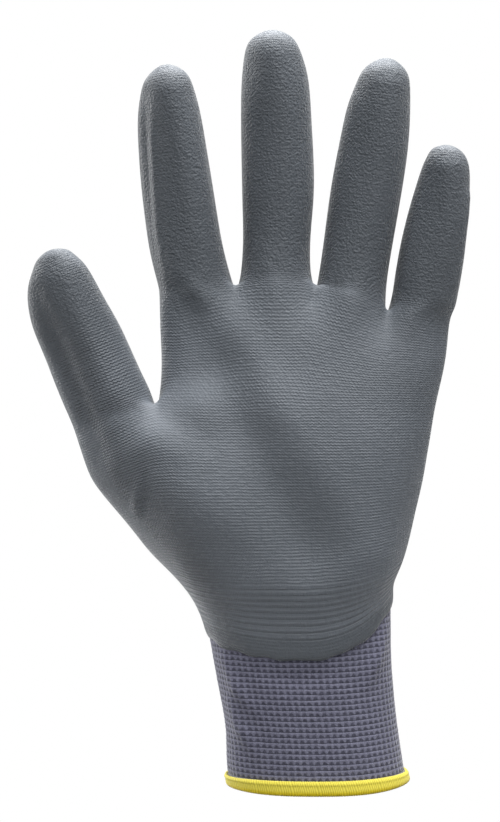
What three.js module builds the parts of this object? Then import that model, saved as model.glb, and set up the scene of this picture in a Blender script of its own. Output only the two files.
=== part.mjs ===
// A palm-dipped work glove for the left hand, filled out the way a hand wears it.
//
// A seamless knitted liner makes the cuff, the hand and five finger stalls. A coating covers the palm,
// the sides of the fingers and the whole of each fingertip, and an overlocked hem binds the cuff's foot.
// All of them follow one outer surface, built in rows like the courses of the knitting: up the cuff and
// the hand, then up each stall from its own part of the hand's rim. Each piece is a run of that
// surface's faces, given a wall of its own at its own depth below it.
//
// Millimetres. +Z runs from the wrist opening to the fingertips, the palm faces -Y and the thumb lies
// towards -X. The origin is the middle of the wrist opening, at the foot of the hem.
import * as THREE from "three";

const { lerp, clamp, degToRad, smoothstep } = THREE.MathUtils;

// Sizes of the whole glove.
const HAND_WIDTH = 94; // across the palm at the finger roots
const HAND_DEPTH = 44; // palm to back at the ball of the thumb
const WRIST_HEIGHT = 41; // top of the cuff, at the middle of the palm side
const PALM_LENGTH = 119; // wrist to the root of the middle finger
const CUFF_WIDTH = 58;
const CUFF_DEPTH = 43;
const THUMB_FORWARD = 7; // how far the root of the thumb stands in front of the hand
const THUMB_DROP = 12; // how far the thumb's root slopes down from the crotch to the hand's edge

// Fabric, coating and binding.
const KNIT_WALL = 1.2;
const COAT_WALL = 0.6;
const LAYER_GAP = 0.3; // clearance between the coating and the knit
const JOIN_GAP = 0.3; // clearance where one knitted section meets the next
const COLLAR = 6; // how far the hand is knitted up each finger before its stall begins
const HEM_HEIGHT = 4.6;
const HEM_WALL = 0.9; // thread wrapped over each face of the cuff's edge
const HEM_GAP = 0.3; // clearance between the thread and the knit
const KNIT_DEPTH = COAT_WALL + LAYER_GAP; // the knit's outer face, below the coating's
const CUFF_FOOT = HEM_WALL + HEM_GAP; // the cuff stands inside the hem, clear of the thread below it

// The wrist row isn't level: it climbs from the middle of the palm side to the edges of the hand.
const RISE_AT_THUMB_SIDE = 5;
const RISE_AT_LITTLE_SIDE = 14.5;
const RISE_AT_HEM = 0.14; // share of that climb that is left at the foot of the cuff

// Fingers: length above the crotches, and depth from the palm side to the back.
const THUMB_LENGTH = 58.4;
const THUMB_DEPTH = 25;
const INDEX_LENGTH = 73;
const INDEX_DEPTH = 21.5;
const MIDDLE_LENGTH = 81;
const MIDDLE_DEPTH = 22.5;
const RING_LENGTH = 77;
const RING_DEPTH = 21.5;
const LITTLE_LENGTH = 55;
const LITTLE_DEPTH = 19.5;

// Their shapes, from the thumb outwards: lean in degrees from straight up, and curl of the tip towards
// the palm as a share of the length. A finger's width follows the part of the rim that it rises from.
// Its outline goes by shares of its length and of that width, and sway is how far its middle stands off
// a straight line.
const FINGERS = [
  {
    name: "thumb",
    length: THUMB_LENGTH,
    depth: THUMB_DEPTH,
    lean: -22,
    curl: 0.154,
    outline: [
      { at: 0, width: 1.08, sway: 0 },
      { at: 0.25, width: 1.065, sway: -0.019 },
      { at: 0.5, width: 1.03, sway: -0.028 },
      { at: 0.7, width: 0.955, sway: -0.05 },
      { at: 0.85, width: 0.8, sway: -0.03 },
      { at: 0.94, width: 0.55, sway: -0.019 },
      { at: 0.975, width: 0.4, sway: -0.01 },
    ],
  },
  {
    name: "index",
    length: INDEX_LENGTH,
    depth: INDEX_DEPTH,
    lean: -7.5,
    curl: 0.096,
    outline: [
      { at: 0, width: 0.96, sway: 0 },
      { at: 0.2, width: 0.955, sway: -0.072 },
      { at: 0.45, width: 0.935, sway: -0.088 },
      { at: 0.65, width: 0.885, sway: -0.082 },
      { at: 0.8, width: 0.81, sway: -0.068 },
      { at: 0.9, width: 0.7, sway: -0.04 },
      { at: 0.97, width: 0.48, sway: 0 },
    ],
  },
  {
    name: "middle",
    length: MIDDLE_LENGTH,
    depth: MIDDLE_DEPTH,
    lean: -0.8,
    curl: 0.099,
    outline: [
      { at: 0, width: 0.92, sway: 0 },
      { at: 0.15, width: 0.85, sway: 0.019 },
      { at: 0.4, width: 0.91, sway: 0.05 },
      { at: 0.65, width: 0.89, sway: 0.038 },
      { at: 0.8, width: 0.845, sway: 0.03 },
      { at: 0.9, width: 0.745, sway: 0.012 },
      { at: 0.97, width: 0.54, sway: 0 },
    ],
  },
  {
    name: "ring",
    length: RING_LENGTH,
    depth: RING_DEPTH,
    lean: 8,
    curl: 0.104,
    outline: [
      { at: 0, width: 0.97, sway: -0.01 },
      { at: 0.2, width: 0.955, sway: -0.01 },
      { at: 0.45, width: 0.985, sway: 0 },
      { at: 0.65, width: 0.955, sway: 0.015 },
      { at: 0.8, width: 0.87, sway: 0.015 },
      { at: 0.9, width: 0.74, sway: 0.02 },
      { at: 0.97, width: 0.54, sway: 0 },
    ],
  },
  {
    name: "little",
    length: LITTLE_LENGTH,
    depth: LITTLE_DEPTH,
    lean: 8.6,
    curl: 0.109,
    outline: [
      { at: 0, width: 1, sway: 0.04 },
      { at: 0.2, width: 1.02, sway: 0.055 },
      { at: 0.4, width: 1.01, sway: 0.06 },
      { at: 0.6, width: 0.92, sway: 0.06 },
      { at: 0.8, width: 0.8, sway: 0.075 },
      { at: 0.92, width: 0.65, sway: 0.07 },
      { at: 0.98, width: 0.42, sway: 0.05 },
    ],
  },
];

// Sections of the cuff, by shares of its height, width and depth, to each side of the centre line.
const CUFF = [
  { at: 0, thumbSide: 0.512, littleSide: 0.512, palm: 0.51, back: 0.5 },
  { at: 0.12, thumbSide: 0.517, littleSide: 0.484, palm: 0.5, back: 0.5 },
  { at: 0.4, thumbSide: 0.522, littleSide: 0.447, palm: 0.49, back: 0.5 },
  { at: 0.7, thumbSide: 0.566, littleSide: 0.424, palm: 0.485, back: 0.49 },
  { at: 1, thumbSide: 0.609, littleSide: 0.421, palm: 0.49, back: 0.485 },
];

// Sections of the hand from the wrist to the thumb's crotch, by shares of the palm's length and of the
// hand's width and depth.
const LOWER_HAND = [
  { at: 0, thumbSide: 0.375, littleSide: 0.26, palm: 0.48, back: 0.475 },
  { at: 0.1, thumbSide: 0.411, littleSide: 0.261, palm: 0.49, back: 0.465 },
  { at: 0.19, thumbSide: 0.48, littleSide: 0.288, palm: 0.5, back: 0.455 },
  { at: 0.28, thumbSide: 0.579, littleSide: 0.315, palm: 0.51, back: 0.445 },
  { at: 0.37, thumbSide: 0.655, littleSide: 0.335, palm: 0.51, back: 0.435 },
  { at: 0.46, thumbSide: 0.744, littleSide: 0.357, palm: 0.5, back: 0.425 },
  { at: 0.54, thumbSide: 0.789, littleSide: 0.373, palm: 0.48, back: 0.415 },
  { at: 0.61, thumbSide: 0.817, littleSide: 0.387, palm: 0.46, back: 0.405 },
  { at: 0.686, thumbSide: 0.858, littleSide: 0.403, palm: 0.44, back: 0.395 },
];

// Sections of the hand from the thumb's crotch to the finger roots, in the same shares.
const UPPER_HAND = [
  { at: 0.686, thumbSide: 0.541, littleSide: 0.403, palm: 0.43, back: 0.395 },
  { at: 0.75, thumbSide: 0.529, littleSide: 0.422, palm: 0.4, back: 0.375 },
  { at: 0.83, thumbSide: 0.53, littleSide: 0.44, palm: 0.36, back: 0.35 },
  { at: 1, thumbSide: 0.536, littleSide: 0.463, palm: 0.29, back: 0.29 },
];

// The rim that the four fingers rise from: its ends and the three crotches, as shares of the hand's
// width from the centre line and of the palm's length.
const FINGER_RIM = [
  { across: -0.536, up: 0.968 },
  { across: -0.276, up: 1 },
  { across: -0.007, up: 1.002 },
  { across: 0.242, up: 0.933 },
  { across: 0.463, up: 0.911 },
];

// Mounds of the palm side: places and reaches as shares of the hand's width and the palm's
// length, heights as shares of the hand's depth.
const PALM_RELIEF = [
  { name: "ball of the thumb", across: -0.44, up: 0.4, wide: 0.2, tall: 0.2, height: 0.12 },
  { name: "heel of the hand", across: 0.17, up: 0.32, wide: 0.16, tall: 0.24, height: 0.07 },
  { name: "middle of the palm", across: 0.1, up: 0.6, wide: 0.3, tall: 0.17, height: 0.05 },
];

// Shape of a section: how square it is, and where its face meets its side, as a share of half its width.
const HAND_SECTION = { power: 2.4, corner: 0.9 };
const STALL_SECTION = { power: 2.15, corner: 0.78 };
const CROTCH_PINCH = 0.62; // depth of the hand at a crotch, as a share of its depth at a finger's middle
const PINCH_FROM = 0.3; // share of the way from the thumb's crotch to the rim that the pinch starts at
const RELIEF_FULL = 0.7; // share of a section's depth past which a mound stands at its full height
const THUMB_ROOT = { from: 0.35, to: 0.8, foot: 0.15, top: 0.6 }; // where THUMB_FORWARD grows to its full
const MITRE_LIMIT = 0.45; // the sharpest crease that a wall keeps its full thickness in

// Rows of the surface, as shares of the heights and lengths above, and its segments round a section.
const CUFF_ROWS = [0.12, 0.32, 0.54, 0.77];
const LOWER_ROWS = [0.1, 0.19, 0.28, 0.37, 0.46, 0.54, 0.61];
const UPPER_ROWS = 3;
const STALL_ROWS = [0.2, 0.35, 0.5, 0.65, 0.78, 0.87, 0.935, 0.975];
const DIP_ROW = 0.7; // the coating goes right round a fingertip above this row
const FACE_STEPS = 4; // across the palm side or the back of one finger
const SIDE_STEPS = 4; // round one side, or across one web

const SIDES = ["front", "littleSide", "back", "thumbSide"];
const THUMB_CROTCH = UPPER_HAND[0].at;
const LOWER_STEPS = 5 * FACE_STEPS;
const UPPER_STEPS = 4 * FACE_STEPS;

// A value from one column of a table at a place along it, on a smooth curve through the rows.
function sample(table, at, column) {
  const last = table.length - 1;
  let i = 0;
  while (i < last - 1 && at > table[i + 1].at) i++;
  const slope = (p, q) => (table[q][column] - table[p][column]) / (table[q].at - table[p].at);
  const span = table[i + 1].at - table[i].at;
  const t = clamp((at - table[i].at) / span, 0, 1);
  const leaving = slope(Math.max(i - 1, 0), i + 1) * span;
  const arriving = slope(i, Math.min(i + 2, last)) * span;
  const blend = lerp(table[i][column], table[i + 1][column], t * t * (3 - 2 * t));
  return blend + t * (1 - t) * ((1 - t) * leaving - t * arriving);
}

const evenly = (steps) => Array.from({ length: steps + 1 }, (_, i) => i / steps);

// One coordinate of a superellipse of half size 1, given the other.
function superellipse(other, power) {
  return Math.max(0, 1 - Math.abs(other) ** power) ** (1 / power);
}

// Places round a section of half size 1, anticlockwise seen from the fingertips: its face from the thumb
// side to the little side, then a side, the back and the other side. Columns are the shares of the face
// that its vertices lie at.
function slotsAround(columns, { power, corner }) {
  const across = columns.map((share) => corner * (2 * share - 1));
  const face = across.map((x) => ({ x, y: -superellipse(x, power) }));
  const back = across.map((x) => ({ x, y: superellipse(x, power) })).reverse();
  const side = evenly(SIDE_STEPS)
    .slice(1, -1)
    .map((share) => {
      const y = superellipse(corner, power) * (2 * share - 1);
      return { x: superellipse(y, power), y };
    });
  const otherSide = side.map(({ x, y }) => ({ x: -x, y: -y }));
  return [...face, ...side, ...back, ...otherSide];
}

// The column of a section's face that a place round it belongs to, from 0 on the thumb side.
function columnOf(place, steps) {
  if (place <= steps) return place;
  if (place < steps + SIDE_STEPS) return steps;
  return Math.max(0, 2 * steps + SIDE_STEPS - place);
}

// The glove's outer surface: its vertices, and its four-sided faces with the section they belong to.
const vertices = [];
const faces = [];

const addVertex = (point) => vertices.push(point) - 1;

// Faces between two rings of the same length, lower and upper.
function addRow(lower, upper, steps, section, at) {
  lower.forEach((vertex, i) => {
    const next = (i + 1) % lower.length;
    const corners = [vertex, lower[next], upper[next], upper[i]];
    const starts = [steps, steps + SIDE_STEPS, 2 * steps + SIDE_STEPS, lower.length];
    const side = SIDES[starts.findIndex((start) => i < start)];
    faces.push({ corners, section, side, at });
  });
}

// How high the wrist row stands at a place round the section.
function wristRise({ x, y }) {
  if (y <= 0) return Math.abs(x) ** 3 * (x < 0 ? RISE_AT_THUMB_SIDE : RISE_AT_LITTLE_SIDE);
  return lerp(RISE_AT_THUMB_SIDE, RISE_AT_LITTLE_SIDE, (1 + x) / 2);
}

// A point of a section: the table gives its edges to both sides of the centre line and its depths. A
// drop lowers the section towards its thumb edge, which then follows the outline from further down.
function sectionPoint(table, at, slot, [width, depth, length], base, drop = 0) {
  const thumbEdge = -sample(table, at - drop / length, "thumbSide") * width;
  const littleEdge = sample(table, at, "littleSide") * width;
  const reach = sample(table, at, slot.y < 0 ? "palm" : "back") * depth;
  const x = lerp(thumbEdge, littleEdge, (1 + slot.x) / 2);
  const crotch = -UPPER_HAND[0].thumbSide * width;
  const lowered = drop * clamp((crotch - x) / (crotch - thumbEdge), 0, 1);
  return new THREE.Vector3(x, slot.y * reach, base + length * at - lowered);
}

function cuffRing(at, columns) {
  return slotsAround(columns, HAND_SECTION).map((slot) => {
    const sizes = [CUFF_WIDTH, CUFF_DEPTH, WRIST_HEIGHT - CUFF_FOOT];
    const point = sectionPoint(CUFF, at, slot, sizes, CUFF_FOOT);
    point.z += wristRise(slot) * lerp(RISE_AT_HEM, 1, at);
    return addVertex(point);
  });
}

// A point of the hand, lifted by the palm's mounds and carried forward with the root of the thumb.
function handPoint(table, at, slot, drop) {
  const sizes = [HAND_WIDTH, HAND_DEPTH, PALM_LENGTH];
  const point = sectionPoint(table, at, slot, sizes, WRIST_HEIGHT, drop);
  const across = point.x / HAND_WIDTH;
  const up = (point.z - WRIST_HEIGHT) / PALM_LENGTH;
  const lift = PALM_RELIEF.reduce((sum, bump) => {
    const [dx, dz] = [(across - bump.across) / bump.wide, (up - bump.up) / bump.tall];
    return sum + bump.height * HAND_DEPTH * Math.exp(-dx * dx - dz * dz);
  }, 0);
  point.y -= lift * clamp(-slot.y / RELIEF_FULL, 0, 1);
  const { from, to, foot, top } = THUMB_ROOT;
  point.y -= THUMB_FORWARD * smoothstep(-across, from, to) * smoothstep(up, foot, top);
  return point;
}

// Columns of the hand below the thumb's crotch: even at the wrist, and at the crotch parted where the
// thumb's own columns end.
function lowerColumns(at) {
  const thumbEdge = sample(LOWER_HAND, THUMB_CROTCH - THUMB_DROP / PALM_LENGTH, "thumbSide");
  const { thumbSide: crotch, littleSide: littleEdge } = UPPER_HAND[0];
  const place = (2 * (thumbEdge - crotch)) / (thumbEdge + littleEdge) - 1;
  const parting = (place / HAND_SECTION.corner + 1) / 2;
  return evenly(LOWER_STEPS).map((even, i) => {
    const thumbShare = (parting * i) / FACE_STEPS;
    const palmShare = lerp(parting, 1, (i - FACE_STEPS) / UPPER_STEPS);
    return lerp(even, i < FACE_STEPS ? thumbShare : palmShare, at / THUMB_CROTCH);
  });
}

// A value part of the way along a list of them.
function along(values, place) {
  const i = Math.min(values.length - 2, Math.floor(place));
  return lerp(values[i], values[i + 1], place - i);
}

// A ring of the hand part of the way from the thumb's crotch to the finger rim. Its columns move to the
// rim's, its height follows the rim, and it is pinched between the fingers.
function upperRing(share) {
  const [first, last] = [FINGER_RIM[0].across, FINGER_RIM[FINGER_RIM.length - 1].across];
  const partings = FINGER_RIM.map(({ across }) => {
    const place = (2 * (across - first)) / (last - first) - 1;
    return (clamp(place / HAND_SECTION.corner, -1, 1) + 1) / 2;
  });
  const heights = FINGER_RIM.map(({ up }) => up);
  const columns = evenly(UPPER_STEPS).map((even, i) =>
    lerp(even, along(partings, i / FACE_STEPS), share),
  );
  return slotsAround(columns, HAND_SECTION).map((slot, place) => {
    const column = columnOf(place, UPPER_STEPS);
    const up = lerp(THUMB_CROTCH, along(heights, column / FACE_STEPS), share);
    const point = handPoint(UPPER_HAND, up, slot);
    const toCrotch = Math.cos((Math.PI * column) / FACE_STEPS) ** 2;
    const nearEdge = Math.min(column, UPPER_STEPS - column) < FACE_STEPS / 2;
    const pinch = nearEdge ? 1 : lerp(1, CROTCH_PINCH, toCrotch);
    point.y *= lerp(1, pinch, smoothstep(share, PINCH_FROM, 1));
    return addVertex(point);
  });
}

// Parts a ring across a web of new vertices from the crotch on the palm side to the one on the back.
// It gives the ring on the web's thumb side and the ring on its other side.
function partRing(ring, steps) {
  const backPlace = 2 * steps + SIDE_STEPS - FACE_STEPS;
  const [front, back] = [vertices[ring[FACE_STEPS]], vertices[ring[backPlace]]];
  const web = evenly(SIDE_STEPS)
    .slice(1, -1)
    .map((share) => addVertex(front.clone().lerp(back, share)));
  const nearRing = [...ring.slice(0, FACE_STEPS + 1), ...web, ...ring.slice(backPlace)];
  const farRing = [...ring.slice(FACE_STEPS, backPlace + 1), ...web.reverse()];
  return [nearRing, farRing];
}

// Draws both crotches of a ring together, on the palm side and on the back.
function pinchCrotch(ring, steps) {
  const places = [FACE_STEPS, 2 * steps + SIDE_STEPS - FACE_STEPS];
  const [front, back] = places.map((place) => vertices[ring[place]]);
  const middle = (front.y + back.y) / 2;
  for (const crotch of [front, back]) crotch.y = lerp(middle, crotch.y, CROTCH_PINCH);
}

// A finger on its own part of the rim: a collar of the hand, then a stall of rings up its leaning,
// curling middle line, closed by a domed cap. It gives the ring where the stall begins, and its axis.
function addFinger({ name, length, depth, lean, curl, outline }, root) {
  const up = new THREE.Vector3(Math.sin(degToRad(lean)), 0, Math.cos(degToRad(lean)));
  const across = new THREE.Vector3(up.z, 0, -up.x);
  const rootBox = new THREE.Box3().setFromPoints(root.map((vertex) => vertices[vertex]));
  const base = rootBox.getCenter(new THREE.Vector3());
  const rootWidth = rootBox.max.x - rootBox.min.x;
  const forward = new THREE.Vector3(0, -1, 0);
  const middle = (at) =>
    base
      .clone()
      .addScaledVector(up, length * at)
      .addScaledVector(across, rootWidth * sample(outline, at, "sway"))
      .addScaledVector(forward, length * curl * at * at);
  const slots = slotsAround(evenly(FACE_STEPS), STALL_SECTION);
  const ringAt = (at) => {
    const share = sample(outline, at, "width");
    return slots.map(({ x, y }) => {
      const point = middle(at).addScaledVector(across, (x * rootWidth * share) / 2);
      point.y += (y * depth * share) / outline[0].width / 2;
      return addVertex(point);
    });
  };
  const collar = ringAt(COLLAR / length);
  addRow(root, collar, FACE_STEPS, "hand", 0);
  let ring = collar;
  for (const at of STALL_ROWS) {
    const next = ringAt(at);
    addRow(ring, next, FACE_STEPS, name, at);
    ring = next;
  }
  addCap(ring, name, middle(1));
  return { name, ring: collar, up };
}

// Closes a fingertip with a grid of faces that domes up from its last ring to the tip.
function addCap(ring, section, tip) {
  const faceEnd = FACE_STEPS + 1;
  const front = ring.slice(0, faceEnd);
  const littleSide = ring.slice(faceEnd, faceEnd + SIDE_STEPS - 1);
  const back = ring.slice(faceEnd + SIDE_STEPS - 1, 2 * faceEnd + SIDE_STEPS - 1).reverse();
  const thumbSide = ring.slice(2 * faceEnd + SIDE_STEPS - 1).reverse();
  const middle = new THREE.Vector3();
  for (const vertex of ring) middle.addScaledVector(vertices[vertex], 1 / ring.length);
  const rise = tip.clone().sub(middle);
  const inner = thumbSide.map((edge, j) => {
    const y = (2 * (j + 1)) / SIDE_STEPS - 1;
    const row = front.slice(1, -1).map((vertex, i) => {
      const x = (2 * (i + 1)) / FACE_STEPS - 1;
      const point = vertices[vertex].clone().lerp(vertices[back[i + 1]], (1 + y) / 2);
      return addVertex(point.addScaledVector(rise, Math.sqrt(1 - (x * x + y * y) / 2)));
    });
    return [edge, ...row, littleSide[j]];
  });
  const grid = [front, ...inner, back];
  for (let j = 0; j < SIDE_STEPS; j++)
    for (let i = 0; i < FACE_STEPS; i++) {
      const corners = [grid[j][i], grid[j][i + 1], grid[j + 1][i + 1], grid[j + 1][i]];
      faces.push({ corners, section, side: "tip", at: 1 });
    }
}

// The whole outer surface, and the rings where one piece meets the next.
function buildSurface() {
  const even = evenly(LOWER_STEPS);
  let ring = cuffRing(0, even);
  for (const at of CUFF_ROWS) {
    const next = cuffRing(at, even);
    addRow(ring, next, LOWER_STEPS, "cuff", at);
    ring = next;
  }
  const lowerRing = (at) =>
    slotsAround(lowerColumns(at), HAND_SECTION).map((slot) => {
      const up = at / THUMB_CROTCH;
      const point = handPoint(LOWER_HAND, at, slot, THUMB_DROP * up ** 2);
      point.z += wristRise(slot) * (1 - up) ** 2;
      return addVertex(point);
    });
  const wrist = lowerRing(0);
  addRow(ring, wrist, LOWER_STEPS, "cuff", 1);
  ring = wrist;
  for (const at of [...LOWER_ROWS, THUMB_CROTCH]) {
    const next = lowerRing(at);
    addRow(ring, next, LOWER_STEPS, "hand", at);
    ring = next;
  }
  pinchCrotch(ring, LOWER_STEPS);
  const [thumbRoot, palmRoot] = partRing(ring, LOWER_STEPS);
  const collars = [addFinger(FINGERS[0], thumbRoot)];
  ring = palmRoot;
  for (let row = 1; row <= UPPER_ROWS; row++) {
    const next = upperRing(row / UPPER_ROWS);
    addRow(ring, next, UPPER_STEPS, "hand", THUMB_CROTCH);
    ring = next;
  }
  let steps = UPPER_STEPS;
  for (const finger of FINGERS.slice(1)) {
    const [root, rest] = steps > FACE_STEPS ? partRing(ring, steps) : [ring, []];
    collars.push(addFinger(finger, root));
    ring = rest;
    steps -= FACE_STEPS;
  }
  return { wrist, collars };
}

const { wrist, collars } = buildSurface();

// Which way a wall lies at each vertex: out of the surface, and longer in a crease, so that a wall set
// off by one millimetre stands one millimetre from the faces round it.
function wallDirections() {
  const around = vertices.map(() => []);
  for (const { corners } of faces) {
    const [a, b, c, d] = corners.map((vertex) => vertices[vertex]);
    const normal = c.clone().sub(a).cross(d.clone().sub(b)).normalize();
    for (const vertex of corners) around[vertex].push(normal);
  }
  return around.map((normals) => {
    const direction = new THREE.Vector3();
    for (const normal of normals) direction.add(normal);
    direction.normalize();
    const lean = normals.reduce((sum, normal) => sum + normal.dot(direction), 0) / normals.length;
    return direction.divideScalar(Math.max(lean, MITRE_LIMIT));
  });
}

const directions = wallDirections();

function solidMesh(name, material, points, triangles) {
  const geometry = new THREE.BufferGeometry().setFromPoints(points);
  geometry.setIndex(triangles);
  geometry.computeVertexNormals();
  const mesh = new THREE.Mesh(geometry, material);
  mesh.name = name;
  return mesh;
}

// Builds a closed solid out of the faces of the surface that it covers: a wall from one depth below the
// surface to a greater one, with a rim round its open edges. Some vertices can be moved to keep clear.
function wallMesh(name, material, covered, outside, inside, moved = new Map()) {
  const points = [];
  const numbers = new Map();
  const at = (vertex, depth) => {
    const key = `${vertex}/${depth}`;
    if (!numbers.has(key)) {
      const point = vertices[vertex].clone().addScaledVector(directions[vertex], -depth);
      if (moved.has(vertex)) point.add(moved.get(vertex));
      numbers.set(key, points.push(point) - 1);
    }
    return numbers.get(key);
  };
  const triangles = [];
  const edges = new Set();
  for (const { corners } of covered) {
    const [a, b, c, d] = corners.map((vertex) => vertices[vertex]);
    const [p, q, r, s] = a.distanceTo(c) < b.distanceTo(d) ? [0, 1, 2, 3] : [1, 2, 3, 0];
    const outer = corners.map((vertex) => at(vertex, outside));
    const inner = corners.map((vertex) => at(vertex, inside));
    triangles.push(outer[p], outer[q], outer[r], outer[p], outer[r], outer[s]);
    triangles.push(inner[p], inner[r], inner[q], inner[p], inner[s], inner[r]);
    corners.forEach((from, i) => edges.add(`${from}>${corners[(i + 1) % 4]}`));
  }
  for (const { corners } of covered)
    corners.forEach((from, i) => {
      const to = corners[(i + 1) % 4];
      if (edges.has(`${to}>${from}`)) return;
      const rim = [at(to, outside), at(from, outside), at(from, inside), at(to, inside)];
      triangles.push(rim[0], rim[1], rim[2], rim[0], rim[2], rim[3]);
    });
  return solidMesh(name, material, points, triangles);
}

// The hem: thread wrapped round the cuff's foot, a channel that stands clear of the knit on all sides.
// Its section goes by distance out from the knit's outer face and height above the wrist opening, and
// every point of it follows the wall between the cuff's first two rows.
function hemMesh(material) {
  const row = faces.filter(({ section, at }) => section === "cuff" && at === CUFF_ROWS[0]);
  const outerFace = HEM_GAP + HEM_WALL;
  const innerFace = -KNIT_WALL - HEM_GAP - HEM_WALL;
  const round = HEM_WALL / 2;
  const section = [
    [outerFace, round],
    [outerFace, HEM_HEIGHT],
    [HEM_GAP, HEM_HEIGHT],
    [HEM_GAP, HEM_WALL],
    [-KNIT_WALL - HEM_GAP, HEM_WALL],
    [-KNIT_WALL - HEM_GAP, HEM_HEIGHT],
    [innerFace, HEM_HEIGHT],
    [innerFace, round],
    [innerFace + round, 0],
    [outerFace - round, 0],
  ];
  const span = (WRIST_HEIGHT - CUFF_FOOT) * CUFF_ROWS[0];
  const points = row.flatMap(({ corners: [lower, , , upper] }) =>
    section.map(([distance, height]) => {
      const offset = distance - KNIT_DEPTH;
      const low = vertices[lower].clone().addScaledVector(directions[lower], offset);
      const high = vertices[upper].clone().addScaledVector(directions[upper], offset);
      return low.lerp(high, (height - CUFF_FOOT) / span);
    }),
  );
  const triangles = [];
  row.forEach((_, i) => {
    const [here, next] = [i, (i + 1) % row.length].map((place) => place * section.length);
    section.forEach((_, j) => {
      const above = (j + 1) % section.length;
      triangles.push(here + j, next + j, next + above, here + j, next + above, here + above);
    });
  });
  return solidMesh("cuff_hem", material, points, triangles);
}

const cloth = (color, roughness) => new THREE.MeshStandardMaterial({ color, roughness, metalness: 0 });

const knit = (name, section, moved) => {
  const covered = faces.filter((face) => face.section === section);
  return wallMesh(name, cloth("#62636f", 0.95), covered, KNIT_DEPTH, KNIT_DEPTH + KNIT_WALL, moved);
};

// The coating goes over the palm side and both sides of the hand and the stalls, and right round the
// fingertips.
function isCoated({ section, side, at }) {
  if (section === "cuff") return false;
  return side !== "back" || (section !== "hand" && at > DIP_ROW);
}

const glove = new THREE.Group();
const clearOfCuff = new THREE.Vector3(0, 0, JOIN_GAP);
glove.add(knit("knit_cuff", "cuff"));
glove.add(knit("hand_liner", "hand", new Map(wrist.map((vertex) => [vertex, clearOfCuff]))));
for (const { name, ring, up } of collars) {
  const clearOfHand = up.clone().multiplyScalar(JOIN_GAP);
  glove.add(knit(`${name}_stall`, name, new Map(ring.map((vertex) => [vertex, clearOfHand]))));
}
glove.add(wallMesh("palm_coating", cloth("#63686e", 0.55), faces.filter(isCoated), 0, COAT_WALL));
glove.add(hemMesh(cloth("#e6d455", 0.85)));

export default glove;
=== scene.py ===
# %% [markdown]
# # A palm-dipped work glove
#
# This lesson dresses a plain CAD glove in Blender: a knitted liner, a grey coating that the palm was
# dipped in, an elastic ribbed cuff and a yellow overlocked hem. The CAD solids give the form and the
# sizes. Every piece here is a finer skin over them, with the stitches, folds and finishes that make a
# glove look like cloth.

import math

import bmesh
import bpy
import numpy as np
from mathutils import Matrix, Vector, noise
from mathutils.kdtree import KDTree


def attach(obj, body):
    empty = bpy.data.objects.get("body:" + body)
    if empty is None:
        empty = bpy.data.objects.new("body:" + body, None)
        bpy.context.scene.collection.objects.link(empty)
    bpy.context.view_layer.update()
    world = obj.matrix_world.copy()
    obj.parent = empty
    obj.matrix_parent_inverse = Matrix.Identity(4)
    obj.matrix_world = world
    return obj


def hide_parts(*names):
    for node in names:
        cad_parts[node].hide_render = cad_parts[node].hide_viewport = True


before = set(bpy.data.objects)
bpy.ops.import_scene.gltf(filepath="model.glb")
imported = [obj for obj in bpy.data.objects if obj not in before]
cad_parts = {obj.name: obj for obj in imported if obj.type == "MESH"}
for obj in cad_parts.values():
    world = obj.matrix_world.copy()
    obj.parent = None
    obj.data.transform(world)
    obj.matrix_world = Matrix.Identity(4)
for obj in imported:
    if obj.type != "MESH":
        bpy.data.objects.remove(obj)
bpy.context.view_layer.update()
print("CAD nodes:", sorted(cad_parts))

# %% [markdown]
# ## The camera
#
# A product photo of a glove is taken from far away with a long lens, so that near and far parts keep
# their true proportions. The camera stands 900 mm in front of the palm and looks straight at it. Its
# lens is found from the size of the picture at the glove: one pixel is 0.32 mm there.

# %% Camera
MM = 0.001
PIXEL = 0.32 * MM
PICTURE = (500, 822)
WRIST_PIXEL = (317, 788)
CAMERA_DISTANCE = 900 * MM
SENSOR = 36


def from_photo(px, py):
    """A pixel of the photograph as X and Z in millimetres, on the plane through the glove."""
    return (px - WRIST_PIXEL[0]) * PIXEL / MM, (WRIST_PIXEL[1] - py) * PIXEL / MM


camera = bpy.data.objects.new("camera", bpy.data.cameras.new("camera"))
middle_x, middle_z = from_photo(PICTURE[0] / 2, PICTURE[1] / 2)
camera.location = (middle_x * MM, -CAMERA_DISTANCE, middle_z * MM)
camera.rotation_euler = (math.radians(90), 0, 0)
camera.data.sensor_width = SENSOR
camera.data.lens = SENSOR * CAMERA_DISTANCE / (PICTURE[1] * PIXEL)
bpy.context.scene.collection.objects.link(camera)
bpy.context.scene.camera = camera
print("lens", round(camera.data.lens, 1), "mm")

# %% [markdown]
# ## The sizes of the glove
#
# These are the named sizes of the CAD model. A few are trimmed by some millimetres, where the photograph
# shows that the finished cloth lies a little differently from the plain solids. Lengths are in
# millimetres. A section's row gives how far the glove reaches to each side of its centre line, as a
# share of the width, depth or length that it belongs to.

# %% Sizes
HAND_WIDTH = 94
HAND_DEPTH = 44
WRIST_HEIGHT = 41
PALM_LENGTH = 119
CUFF_WIDTH = 58
CUFF_DEPTH = 43
THUMB_FORWARD = 7
THUMB_DROP = 12
COLLAR = 5
CUFF_FOOT = 1.2
RISE_IN_FRONT = 1.6
RISE_AT_THUMB_SIDE = 7.5
RISE_AT_LITTLE_SIDE = 18
RISE_AT_HEM = 0.115
RISE_STEEPNESS = 2.6
print("palm", HAND_WIDTH, "x", PALM_LENGTH, "mm, cuff", CUFF_WIDTH, "x", WRIST_HEIGHT, "mm")


# %% Sections of the cuff and the hand
def table(columns, *rows):
    """A table of sections: one list of numbers for each named column."""
    return {name: list(values) for name, values in zip(columns.split(), zip(*rows))}


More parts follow.
